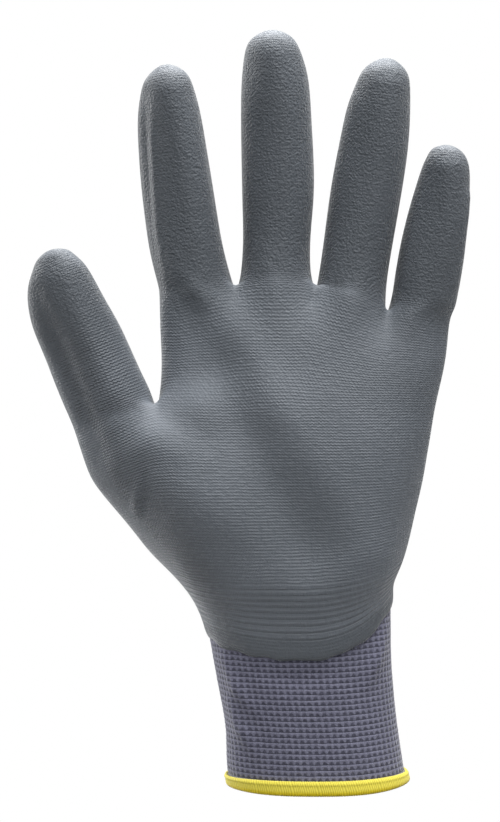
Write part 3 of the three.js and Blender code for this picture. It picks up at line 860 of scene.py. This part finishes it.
# %% [markdown]
# ## The ribbed cuff
#
# The cuff is knitted tighter, with elastic thread, and its stitches are large enough to see one by
# one: a bright raised thread along each course, and under it a row of small dark arches between the
# legs of the loops. Bump alone would look flat along the cuff's outline, so the stitches are real
# relief here. A flat panel is drawn with a grid, a few faces to each stitch, rolled round the wrist
# and welded at the back. Its courses run level, and it goes on under the coating, whose edge cuts
# across them as on the real glove.

# %% Places round the cuff
FINE_STEPS = 4000


def even_slots(count):
    """Places round a section, the same distance apart, from the middle of the back and round it."""
    angles = np.linspace(0, 2 * math.pi, FINE_STEPS + 1) + math.pi / 2
    power = 2 / HAND_SECTION["power"]
    x = np.sign(np.cos(angles)) * np.abs(np.cos(angles)) ** power
    y = np.sign(np.sin(angles)) * np.abs(np.sin(angles)) ** power
    steps = np.hypot(np.diff(x) * CUFF_WIDTH, np.diff(y) * CUFF_DEPTH)
    travelled = np.concatenate([[0], np.cumsum(steps)])
    wanted = np.linspace(0, travelled[-1], count + 1)
    return np.interp(wanted, travelled, x), np.interp(wanted, travelled, y)


# %% A sleeve of level rows
UP_THE_HAND = 0.3


def joined_curve(column, cuff_size, hand_size):
    """One size of the section from the hem up into the hand, where the shares run on above 1."""
    low, high = np.linspace(0, 1, 101), np.linspace(0.005, UP_THE_HAND, 60)
    sizes = [cuff_size * sample(CUFF, at, column) for at in low]
    sizes += [hand_size * sample(LOWER_HAND, at, column) for at in high]
    return np.concatenate([low, 1 + high]), sizes


def cuff_sleeve(rounds, heights):
    """Points of the cuff's surface: a column for each place round it, a level row for each height."""
    x, y = even_slots(rounds)
    rise = wrist_rise(x, y)
    level = np.array(heights)[:, None] + RISE_AT_HEM * rise
    tall = WRIST_HEIGHT - CUFF_FOOT + (1 - RISE_AT_HEM) * rise
    share = (level - CUFF_FOOT - RISE_AT_HEM * rise) / tall
    bend, slope = rise / THUMB_CROTCH**2, PALM_LENGTH - 2 * rise / THUMB_CROTCH
    above = np.maximum(level - WRIST_HEIGHT - rise, 0)
    in_hand = (np.sqrt(slope**2 + 4 * bend * above) - slope) / (2 * bend)
    share = np.where(share > 1, 1 + in_hand, share)
    thumb_edge = -np.interp(share, *joined_curve("thumb_side", CUFF_WIDTH, HAND_WIDTH))
    little_edge = np.interp(share, *joined_curve("little_side", CUFF_WIDTH, HAND_WIDTH))
    palm = np.interp(share, *joined_curve("palm", CUFF_DEPTH, HAND_DEPTH))
    back = np.interp(share, *joined_curve("back", CUFF_DEPTH, HAND_DEPTH))
    across = lerp(thumb_edge, little_edge, (1 + x) / 2)
    return np.stack([across, y * np.where(y < 0, palm, back), level], axis=2)


def away_from(sleeve):
    """The outward direction at each point of such a sleeve."""
    round_it = np.gradient(sleeve, axis=1)
    round_it[:, 0] = round_it[:, -1] = sleeve[:, 1] - sleeve[:, -2]
    up_it = np.gradient(sleeve, axis=0)
    out = np.cross(up_it, round_it)
    out /= np.linalg.norm(out, axis=2, keepdims=True)
    middle = sleeve.mean(axis=1, keepdims=True)
    return out * np.sign(((sleeve - middle) * out).sum(axis=2, keepdims=True))


# %% One stitch of the cuff
THREAD_AT = 0.74
THREAD_WIDE = 0.15
ARCH_FOOT = 0.12
ARCH_WIDE = 0.38
ARCH_TALL = 0.46
SEAM_WIDE = 0.08


def stitch_relief(wale, course):
    """How high a stitch stands, from 0 in the arch to 1 on the raised thread."""
    across = np.abs((wale % 1) - 0.5)
    up = course % 1
    lumps = 0.85 + 0.15 * np.cos(4 * math.pi * wale)
    thread = 0.7 * np.exp(-(((up - THREAD_AT) / THREAD_WIDE) ** 2)) * lumps
    legs = 0.3 + 0.4 * np.clip(across / 0.5, 0, 1)
    arch = np.clip(1 - (across / ARCH_WIDE) ** 2 - ((up - ARCH_FOOT) / ARCH_TALL) ** 2, 0, 1) ** 0.5
    seam = np.exp(-((np.minimum(up, 1 - up) / SEAM_WIDE) ** 2))
    return np.clip(np.maximum(thread, legs * (1 - 0.8 * arch)) - 0.4 * seam, 0, 1)


# %% A panel rolled round the wrist
def rolled_panel(sleeve, relief, wales, courses):
    """A flat grid rolled onto a sleeve and welded at the back, with its knit as UV."""
    rows, columns = sleeve.shape[0] - 1, sleeve.shape[1] - 1
    panel = bmesh.new()
    uv = panel.loops.layers.uv.new("knit")
    relief_layer = panel.verts.layers.float.new("relief")
    bmesh.ops.create_grid(panel, x_segments=columns, y_segments=rows, size=1)
    spots = {}
    for vert in panel.verts:
        i = round((vert.co.x + 1) / 2 * columns)
        j = round((vert.co.y + 1) / 2 * rows)
        spots[vert] = (i / columns * wales, j / rows * courses)
        vert.co = sleeve[j, i]
        vert[relief_layer] = float(relief[j, i])
    for face in panel.faces:
        for loop in face.loops:
            loop[uv].uv = spots[loop.vert]
    bmesh.ops.remove_doubles(panel, verts=panel.verts, dist=0.001)
    bmesh.ops.recalc_face_normals(panel, faces=panel.faces)
    return panel


# %% The stitches of the cuff
CUFF_WALES = 76
CUFF_COURSES = 36
STITCH_COLUMNS = 6
STITCH_ROWS = 6
UNEVENNESS = 0.03

uneven = np.random.default_rng(7)
heights = np.linspace(CUFF_FOOT, CUFF_TOP, CUFF_COURSES * STITCH_ROWS + 1)
sleeve = cuff_sleeve(CUFF_WALES * STITCH_COLUMNS, heights)
outward = away_from(sleeve)
wales = np.linspace(0, CUFF_WALES, sleeve.shape[1])[None, :]
courses = np.linspace(0, CUFF_COURSES, sleeve.shape[0])[:, None]
pull = uneven.normal(0, UNEVENNESS, (CUFF_COURSES + 2, CUFF_WALES + 2))
loose = pull[courses.astype(int), wales.astype(int)]
relief = np.clip(stitch_relief(wales + loose, courses + 0.5 * loose) * (1 + 3 * loose), 0, 1)
relief[:, -1] = relief[:, 0]
print(CUFF_WALES, "wales and", CUFF_COURSES, "courses")

# %% The ribbed cuff
CUFF_KNIT_DEPTH = 0.95
STITCH_RELIEF = 0.32
TOP_SINKS = 0.8
TOP_FADE = 3
LIP_TURNED_IN = (0.965, 0.955, 1)

folds = fold_lift(sleeve.reshape(-1, 3), outward.reshape(-1, 3)).reshape(relief.shape)
sunk = TOP_SINKS * np.clip((sleeve[:, :, 2] - CUFF_TOP) / TOP_FADE + 1, 0, 1)
lift = folds + STITCH_RELIEF * (relief - 0.5) - CUFF_KNIT_DEPTH - sunk
relaxed = sleeve + outward * lift[:, :, None]
cuff = rolled_panel(relaxed, relief, CUFF_WALES, CUFF_COURSES)
lip = bmesh.ops.extrude_edge_only(cuff, edges=rims(cuff))["geom"]
lip_verts = [item for item in lip if isinstance(item, bmesh.types.BMVert)]
bmesh.ops.scale(cuff, vec=LIP_TURNED_IN, verts=lip_verts)
cuff_piece = new_piece(cuff, "ribbed_cuff", "cuff", "knit_cuff")

# %% [markdown]
# ## The overlocked hem
#
# The cuff's raw edge is bound with yellow thread that wraps over it again and again, with a chain
# stitch along the top. Over two hundred separate threads would be slow to make and hard to weld, so
# one closed band is rolled from a grid, and each thread is a slanted ridge of it.

# %% Sizes of the hem
HEM_THREADS = 230
THREAD_COLUMNS = 6
THREAD_RELIEF = 0.14
THREAD_SLANT = 0.5
THREAD_WANDER = [(0.3, 17), (0.2, 41)]
CHAIN_AT = 3.5
CHAIN_WIDE = 0.3
CHAIN_RELIEF = 0.2
HEM_TALL = 4.6
HEM_SQUEEZE = 0.3
HEM_SECTION = table(
    "outward height",
    (-0.7, 0.0), (-0.1, 0.12), (0.12, 0.5), (0.2, 1.0), (0.22, 1.6), (0.2, 2.2), (0.16, 2.8),
    (0.12, 3.2), (0.14, 3.5), (0.1, 3.9), (-0.05, 4.3), (-0.4, 4.55), (-0.72, 4.3), (-0.75, 1.2),
    (-2.3, 1.2), (-2.3, 4.3), (-2.6, 4.5), (-3.0, 4.2), (-3.1, 3.4), (-3.12, 2.4), (-3.1, 1.2),
    (-3.0, 0.5), (-2.6, 0.1), (-1.7, 0.0), (-0.7, 0.0),
)
print("the hem's section has", len(HEM_SECTION["height"]), "places")


# %% The hem's band of threads
def hem_band():
    """Points of the band: a row for each place of its section, a column for each place round it."""
    rounds = HEM_THREADS * THREAD_COLUMNS
    sleeve = cuff_sleeve(rounds, HEM_SECTION["height"])
    level = cuff_sleeve(rounds, [CUFF_FOOT, CUFF_FOOT + 2])
    out = away_from(level)[0]
    out[:, 2] = 0
    out /= np.linalg.norm(out, axis=1, keepdims=True)
    section = np.array([HEM_SECTION["outward"], HEM_SECTION["height"]]).T
    turn = np.gradient(section, axis=0)
    turn[0] = turn[-1] = section[1] - section[-2]
    turn /= np.linalg.norm(turn, axis=1, keepdims=True)
    face_out, face_up = turn[:, 1], -turn[:, 0]
    wraps = np.linspace(0, HEM_THREADS, rounds + 1)
    turns = wraps * 2 * math.pi / HEM_THREADS
    wander = sum(size * np.sin(often * turns) for size, often in THREAD_WANDER)
    phase = (wraps + wander)[None, :] + THREAD_SLANT * section[:, 1:] / HEM_TALL
    thread = np.sqrt(np.abs(np.sin(np.pi * phase)))
    at_chain = np.exp(-(((section[:, 1:] - CHAIN_AT) / CHAIN_WIDE) ** 2))
    chain = at_chain * np.sqrt(np.abs(np.sin(np.pi * phase / 2)))
    hidden = (section[:, 0] < -0.5) & (section[:, 0] > -2.5) & (section[:, 1] > 1)
    swell = (THREAD_RELIEF * thread + CHAIN_RELIEF * chain) * np.where(hidden, 0, 1)[:, None]
    sideways = section[:, :1] + swell * face_out[:, None]
    band = sleeve + out[None] * sideways[:, :, None]
    squeeze = HEM_SQUEEZE * np.abs(even_slots(rounds)[0]) ** 4
    band[:, :, 2] -= squeeze[None, :] * (section[:, 1:] - HEM_TALL / 2)
    band[:, :, 2] += swell * face_up[:, None]
    return band, thread


# %% The overlocked hem
band, thread = hem_band()
hem = rolled_panel(band, thread, HEM_THREADS, len(HEM_SECTION["height"]) - 1)
hem_piece = new_piece(hem, "overlocked_hem", "hem", "cuff_hem")

# %% [markdown]
# ## Finishes
#
# Each finish is a small tree of nodes. Two helpers keep the trees readable: `add` makes a node and wires
# its inputs, and an `Amount` is a value that varies over a piece. A sum with an Amount is written like
# any other sum, and becomes nodes of arithmetic.

# %% Amounts
TURN = 2 * math.pi


class Amount:
    """A value that varies over a piece."""

    def __init__(self, tree, socket):
        self.tree, self.socket = tree, socket

    def __add__(self, other):
        return calc("ADD", self, other)

    def __sub__(self, other):
        return calc("SUBTRACT", self, other)

    def __rsub__(self, other):
        return calc("SUBTRACT", other, self)

    def __mul__(self, other):
        return calc("MULTIPLY", self, other)

    def __truediv__(self, other):
        return calc("DIVIDE", self, other)


def add(tree, kind, inputs, **settings):
    """Adds a node. An input is a number, a colour, an Amount or the output of another node."""
    node = tree.nodes.new("ShaderNode" + kind)
    for key, value in settings.items():
        setattr(node, key, value)
    for socket, value in inputs.items():
        source = value.socket if isinstance(value, Amount) else value
        if isinstance(source, bpy.types.NodeSocket):
            tree.links.new(source, node.inputs[socket])
        else:
            node.inputs[socket].default_value = source
    return node


def calc(operation, *values):
    tree = next(value.tree for value in values if isinstance(value, Amount))
    return Amount(tree, add(tree, "Math", dict(enumerate(values)), operation=operation).outputs[0])


# %% Patterns
def knit_of(tree):
    """The wale and the course at a point, from the piece's own UV map."""
    uv = add(tree, "UVMap", {}, uv_map="knit").outputs["UV"]
    split = add(tree, "SeparateXYZ", {"Vector": uv}).outputs
    return Amount(tree, split["X"]), Amount(tree, split["Y"])


def written(tree, name):
    """What an earlier cell wrote on the piece's points."""
    return Amount(tree, add(tree, "Attribute", {}, attribute_name=name).outputs["Fac"])


def mottle(tree, scale, detail=3.0):
    """Soft noise in the piece's own space, from 0 to 1."""
    place = add(tree, "TexCoord", {}).outputs["Object"]
    clouds = add(tree, "TexNoise", {"Vector": place, "Scale": scale, "Detail": detail})
    return Amount(tree, clouds.outputs["Fac"])


def between(value, low, high):
    """A smooth step: 0 up to the low value and 1 from the high one."""
    limits = {"Value": value, "From Min": low, "From Max": high}
    step = add(value.tree, "MapRange", limits, interpolation_type="SMOOTHSTEP")
    return Amount(value.tree, step.outputs[0])


def squared(value):
    return calc("POWER", value, 2.0)


# %% Colours, and a finish for a piece
def mixed(share, first, second, kind="FLOAT"):
    """The first value where the share is 0, and the second where it is 1."""
    mix = add(share.tree, "Mix", {"Factor": share, "A": first, "B": second}, data_type=kind)
    return Amount(share.tree, mix.outputs[2 if kind == "RGBA" else 0])


def colours(value, *stops):
    """A colour ramp: each stop is a place from 0 to 1 and its linear colour."""
    ramp = value.tree.nodes.new("ShaderNodeValToRGB")
    elements = ramp.color_ramp.elements
    for i, (place, colour) in enumerate(stops):
        element = elements[i] if i < len(elements) else elements.new(place)
        element.position = place
        element.color = (*colour, 1)
    value.tree.links.new(value.socket, ramp.inputs["Fac"])
    return Amount(value.tree, ramp.outputs["Color"])


def new_finish(name, roughness, specular, sheen, sheen_roughness=0.5):
    material = bpy.data.materials.new(name)
    material.use_nodes = True
    shader = material.node_tree.nodes["Principled BSDF"]
    shader.inputs["Roughness"].default_value = roughness
    shader.inputs["Specular IOR Level"].default_value = specular
    shader.inputs["Sheen Weight"].default_value = sheen
    shader.inputs["Sheen Roughness"].default_value = sheen_roughness
    return material, material.node_tree


def put_on(piece, finish, colour, height, distance):
    """Gives a finish its colour and its bumps, at most so many metres high, and puts it on a piece."""
    tree = finish.node_tree
    shader = tree.nodes["Principled BSDF"]
    bump = add(tree, "Bump", {"Height": height, "Distance": distance, "Strength": 1.0})
    tree.links.new(bump.outputs["Normal"], shader.inputs["Normal"])
    tree.links.new(colour.socket, shader.inputs["Base Color"])
    piece.data.materials.append(finish)
    print(finish.name, "has", len(tree.nodes), "nodes")


# %% [markdown]
# ## The coating's finish
#
# The dried coat is satin and finely pebbled. The courses of the knit show through it as fine broken lines,
# and low on the palm as wider grooves. Where the wet dip ran together, on the fingertips, it is smoother.
# Into its colour go painted light and shade: painted light on the faces that turn upwards, painted shade
# on the fingers, most of all the outer ones, painted shade over the grooved lower palm, and painted shade
# in the grooves of the knit's lines, whose ridges come out lighter. A painted picture could hold all that,
# but amounts that follow the knit stay sharp from any distance. First come the amounts that say where on
# the glove a point lies. They are counted in wales and courses, from a course a little below the coat's
# edge.

# %% Where a point of the coat lies
COUNT_FROM = 43
MIDDLE_WALE = 36
GROOVES_START = (11, 15)
GROOVES_END = (27, 33)
FINGERS_START = (108, 132)
THUMB_SIDE_ENDS = (5, 16)
OUTER_SIDE_STARTS = (10, 18)
# How far a face must turn upwards to be smoothed, as where the dip ran together, and to take painted light
# from above.
POOLS_AND_TOP_LIGHT = (0.25, 0.8)
TIPS_START = (0.06, 0.24)

coating, tree = new_finish("satin polyurethane", 0.56, 0.5, 0.4, 0.28)
wale, course = knit_of(tree)
courses_up = course - COUNT_FROM
upward = written(tree, "upward")
on_finger = between(courses_up, *FINGERS_START)
on_hand = 1 - on_finger
on_tip = between(upward, *TIPS_START) * on_finger
at_thumb_side = 1 - between(wale, *THUMB_SIDE_ENDS)
at_outer_side = between(calc("ABSOLUTE", wale - MIDDLE_WALE), *OUTER_SIDE_STARTS)
# Faces that turn upwards: the coat is smoother there, and it is painted lighter there as painted light
# from above.
pooled_and_top_lit = between(upward, *POOLS_AND_TOP_LIGHT)

# %% The knit that shows through the coat
GROOVE = 1.85
LINES_ON_FINGERS = 0.16
MORE_ON_HAND = 0.2
MORE_AT_THUMB_SIDE = 0.7
MORE_ON_TIPS = 0.3

pebble = mottle(tree, 620, 2)
wave = calc("SINE", wale * (1.5 * TURN)) * 0.13
drift = mottle(tree, 170, 3) * 0.7
fine_lines = calc("SINE", (course + wave + drift) * TURN)
line_depth = on_hand * MORE_ON_HAND + LINES_ON_FINGERS
line_depth = line_depth + at_thumb_side * on_hand * MORE_AT_THUMB_SIDE + on_tip * MORE_ON_TIPS
broken = pebble * 1.5 - 0.3
fine_height = fine_lines * line_depth * broken
grooves = calc("SINE", courses_up * (TURN * COURSE / GROOVE))
plateau = calc("POWER", grooves * 0.5 + 0.5, 0.25)
grooved = plateau * between(courses_up, *GROOVES_START) + fine_height * 0.8
above_grooves = between(courses_up, *GROOVES_END)
knit_height = mixed(above_grooves, grooved, fine_height)

# %% The coat's grain and colour
SHADOW_GREY = (0.069, 0.08, 0.094)
LIGHT_GREY = (0.148, 0.166, 0.192)
# How much painted light the upward faces get.
PAINTED_LIGHT_ON_TOPS = 0.4
# Painted shade on the fingers, deeper on the outer fingers.
PAINTED_SHADE_ON_FINGERS = 0.24
PAINTED_SHADE_ON_OUTER_FINGERS = 0.14
# Painted shade over the lower palm, where the grooves run.
PAINTED_SHADE_LOW_ON_PALM = 0.3

grain = pebble * 0.9 + mottle(tree, 1500, 3) * 0.7
wrinkled = mottle(tree, 1250, 3) * 2.4 * on_finger
rough = (grain + wrinkled) * (1 - pooled_and_top_lit * 0.7)
coat_height = knit_height * (1 - pooled_and_top_lit * 0.8) + rough
cloudy = mottle(tree, 30) * 0.6 + pebble * 0.3
# Painted shade: the fingers are painted darker, the index and little fingers most.
painted_finger_shade = on_finger * PAINTED_SHADE_ON_FINGERS + at_outer_side * on_finger * PAINTED_SHADE_ON_OUTER_FINGERS
# Painted light and shade: lighter where the coat faces up, darker on the fingers and over the grooved
# lower palm.
thickness = pooled_and_top_lit * PAINTED_LIGHT_ON_TOPS - (painted_finger_shade + (1 - above_grooves) * PAINTED_SHADE_LOW_ON_PALM)
# The knit's lines are painted darker in their grooves and lighter on their ridges, as painted shade and
# light. The clouds are the coat's own uneven tone.
tone = cloudy + thickness + knit_height * 0.5
grey = colours(tone, (0.15, SHADOW_GREY), (0.95, LIGHT_GREY))
put_on(palm_coat, coating, grey, coat_height, 0.34 * MM)

# %% [markdown]
# ## The liner's finish
#
# Plain knitting shows a column of small Vs on its right side: the two legs of each loop lean away from the
# middle of their wale. They stand less than 0.2 mm high, too low to be worth real relief, so the Vs are
# bumps alone, and the same pattern paints shade into the colour: the gutters between the wales and the
# hollows between the Vs are painted darker.

# %% The liner's finish
liner_knit, tree = new_finish("knitted nylon", 0.85, 0.3, 0.4)
wale, course = knit_of(tree)
lean = calc("ABSOLUTE", calc("FRACT", wale) - 0.5)
vee = calc("SINE", (course - lean) * TURN) * 0.5 + 0.5
stitch = vee * calc("ABSOLUTE", calc("SINE", wale * math.pi))
# Painted shade: the low parts of the stitch pattern, in the gutters and between the Vs, are painted
# darker.
slate = colours(stitch, (0.0, (0.05, 0.05, 0.07)), (0.6, (0.15, 0.152, 0.205)))
put_on(hand_knit, liner_knit, slate, stitch, 0.3 * MM)

# %% [markdown]
# ## The cuff's finish
#
# The relief already shapes the stitches, and the finish paints shade into what lies deep in them: the arch
# between the legs of each loop and the seam between two courses are painted darker. Both are drawn again
# here, a little uneven, so that they stay crisp where the relief's own faces are too large for them. The
# raised thread, read from the relief, is painted lighter as painted light. Fine noise stands for the
# fibres of the thread.

# %% The cuff's finish
DRAWN_ARCH = {"wide": 0.36, "tall": 0.42, "foot": 0.14}
SEAM_PAINTED_SHADE = 0.5
ARCH_PAINTED_SHADE = 0.3

cuff_knit, tree = new_finish("ribbed nylon", 0.8, 0.3, 0.5, 0.4)
wale, course = knit_of(tree)
wobble = (mottle(tree, 420, 2) - 0.5) * 0.6
across = calc("ABSOLUTE", calc("FRACT", wale + wobble) - 0.5)
up = calc("FRACT", course + wobble * 0.5)
out_sideways = squared(across / DRAWN_ARCH["wide"])
out_upwards = squared((up - DRAWN_ARCH["foot"]) / DRAWN_ARCH["tall"])
arch = between(1 - out_sideways - out_upwards, -0.1, 0.5)
seam = 1 - between(calc("MINIMUM", up, 1 - up), 0.0, 0.12)
# Painted light on the raised thread, and painted shade in the arches and along the seams.
light = written(tree, "relief") * 0.42 + 0.44 - (arch * ARCH_PAINTED_SHADE + seam * SEAM_PAINTED_SHADE)
fibre = mottle(tree, 2500, 2)
tone = light + (fibre - 0.5) * 0.8
blue_grey = colours(
    tone, (0.0, (0.04, 0.04, 0.06)), (0.45, (0.125, 0.126, 0.18)), (1.0, (0.27, 0.272, 0.365))
)
put_on(cuff_piece, cuff_knit, blue_grey, fibre + light, 0.12 * MM)

# %% [markdown]
# ## The hem's finish
#
# The yellow thread is painted lighter on its ridges and darker between them, as painted light and shade,
# and it is a deeper yellow along the hem's lower edge. A little lint breaks up its shine.

# %% The hem's finish
hem_thread, tree = new_finish("yellow thread", 0.6, 0.35, 0.3)
lint = (mottle(tree, 1200, 3) - 0.5) * 0.6
# Painted light and shade: the thread's ridges lighter, the gaps between threads darker.
tone = written(tree, "relief") + lint
fair = colours(tone, (0.1, (0.52, 0.42, 0.012)), (0.9, (0.85, 0.74, 0.08)))
deep = colours(tone, (0.1, (0.5, 0.36, 0.0)), (0.9, (0.84, 0.66, 0.004)))
section_row = knit_of(tree)[1]
at_lower_edge = 1 - between(section_row, 2.5, 4.5)
put_on(hem_piece, hem_thread, mixed(at_lower_edge, fair, deep, "RGBA"), lint, 0.1 * MM)

# %% [markdown]
# ## The studio
#
# The glove stands before a plain white background. One soft lamp hangs in front and above, so that each
# finger is lit on the side that faces the middle of the hand. Two more stand behind, one above and one
# on the left, and put a thin rim of light along the edges. The photograph shows no light from below, so
# the floor gives none back to the glove and only glows faintly itself.

# %% The floor
FLOOR_RADIUS = 880 * MM
FLOOR_HEIGHT = -160 * MM
floor_disc = bmesh.new()
bmesh.ops.create_circle(floor_disc, cap_ends=True, segments=96, radius=FLOOR_RADIUS)
bmesh.ops.translate(floor_disc, vec=(0, 0, FLOOR_HEIGHT), verts=floor_disc.verts)
floor_mesh = bpy.data.meshes.new("floor")
floor_disc.to_mesh(floor_mesh)
floor = bpy.data.objects.new("floor", floor_mesh)
bpy.context.scene.collection.objects.link(floor)
floor.visible_diffuse = False
pale, tree = new_finish("pale floor", 0.9, 0.1, 0.0)
shader = tree.nodes["Principled BSDF"]
shader.inputs["Base Color"].default_value = (0.9, 0.9, 0.9, 1)
shader.inputs["Emission Color"].default_value = (1, 1, 1, 1)
shader.inputs["Emission Strength"].default_value = 0.2
floor.data.materials.append(pale)
print("the floor lies", round(-FLOOR_HEIGHT / MM), "mm below the cuff's foot")

# %% The lamps
MIDDLE_OF_GLOVE = (-0.02, 0, 0.13)
LAMP_SIZE = 400 * MM


def soft_lamp(name, place, watts):
    """A square soft lamp that faces the middle of the glove."""
    lamp = bpy.data.objects.new(name, bpy.data.lights.new(name, "AREA"))
    lamp.data.energy, lamp.data.size = watts, LAMP_SIZE
    lamp.location = place
    towards = Vector(MIDDLE_OF_GLOVE) - Vector(place)
    lamp.rotation_euler = towards.to_track_quat("-Z", "Y").to_euler()
    bpy.context.scene.collection.objects.link(lamp)
    return lamp


lamps = [
    soft_lamp("overhead lamp", (0.14, -0.16, 0.63), 3.3),
    soft_lamp("hair lamp", (-0.02, 0.18, 0.65), 4.4),
    soft_lamp("left rim lamp", (-0.58, 0.32, 0.29), 3.4),
]
print(len(lamps), "soft lamps")

# %% [markdown]
# ## The background
#
# The camera sees the background pure white. What reaches the glove from it is about twice as bright
# from the front as from behind, and almost nothing from below.

# %% The background
IN_FRONT = 1.04
BEHIND = 0.5
BELOW = 0.04

world = bpy.data.worlds.new("studio")
world.use_nodes = True
tree = world.node_tree
direction = add(tree, "TexCoord", {}).outputs["Generated"]
axes = add(tree, "SeparateXYZ", {"Vector": direction}).outputs


def fade(value, low, high, first, last):
    """Goes from the first brightness to the last while the value goes from low to high."""
    span = {"Value": value, "From Min": low, "From Max": high, "To Min": first, "To Max": last}
    return Amount(tree, add(tree, "MapRange", span).outputs[0])


glow = fade(axes["Y"], -0.05, 0.15, IN_FRONT, BEHIND) * fade(axes["Z"], -0.05, 0.05, BELOW, 1.0)
camera_sees = add(tree, "LightPath", {}).outputs["Is Camera Ray"]
background = tree.nodes["Background"]
background.inputs["Color"].default_value = (1, 1, 1, 1)
tree.links.new(calc("MAXIMUM", glow, camera_sees).socket, background.inputs["Strength"])
bpy.context.scene.world = world
bpy.context.scene.view_settings.view_transform = "Standard"
print("the background's light is", IN_FRONT, "in front,", BEHIND, "behind and", BELOW, "of that below")
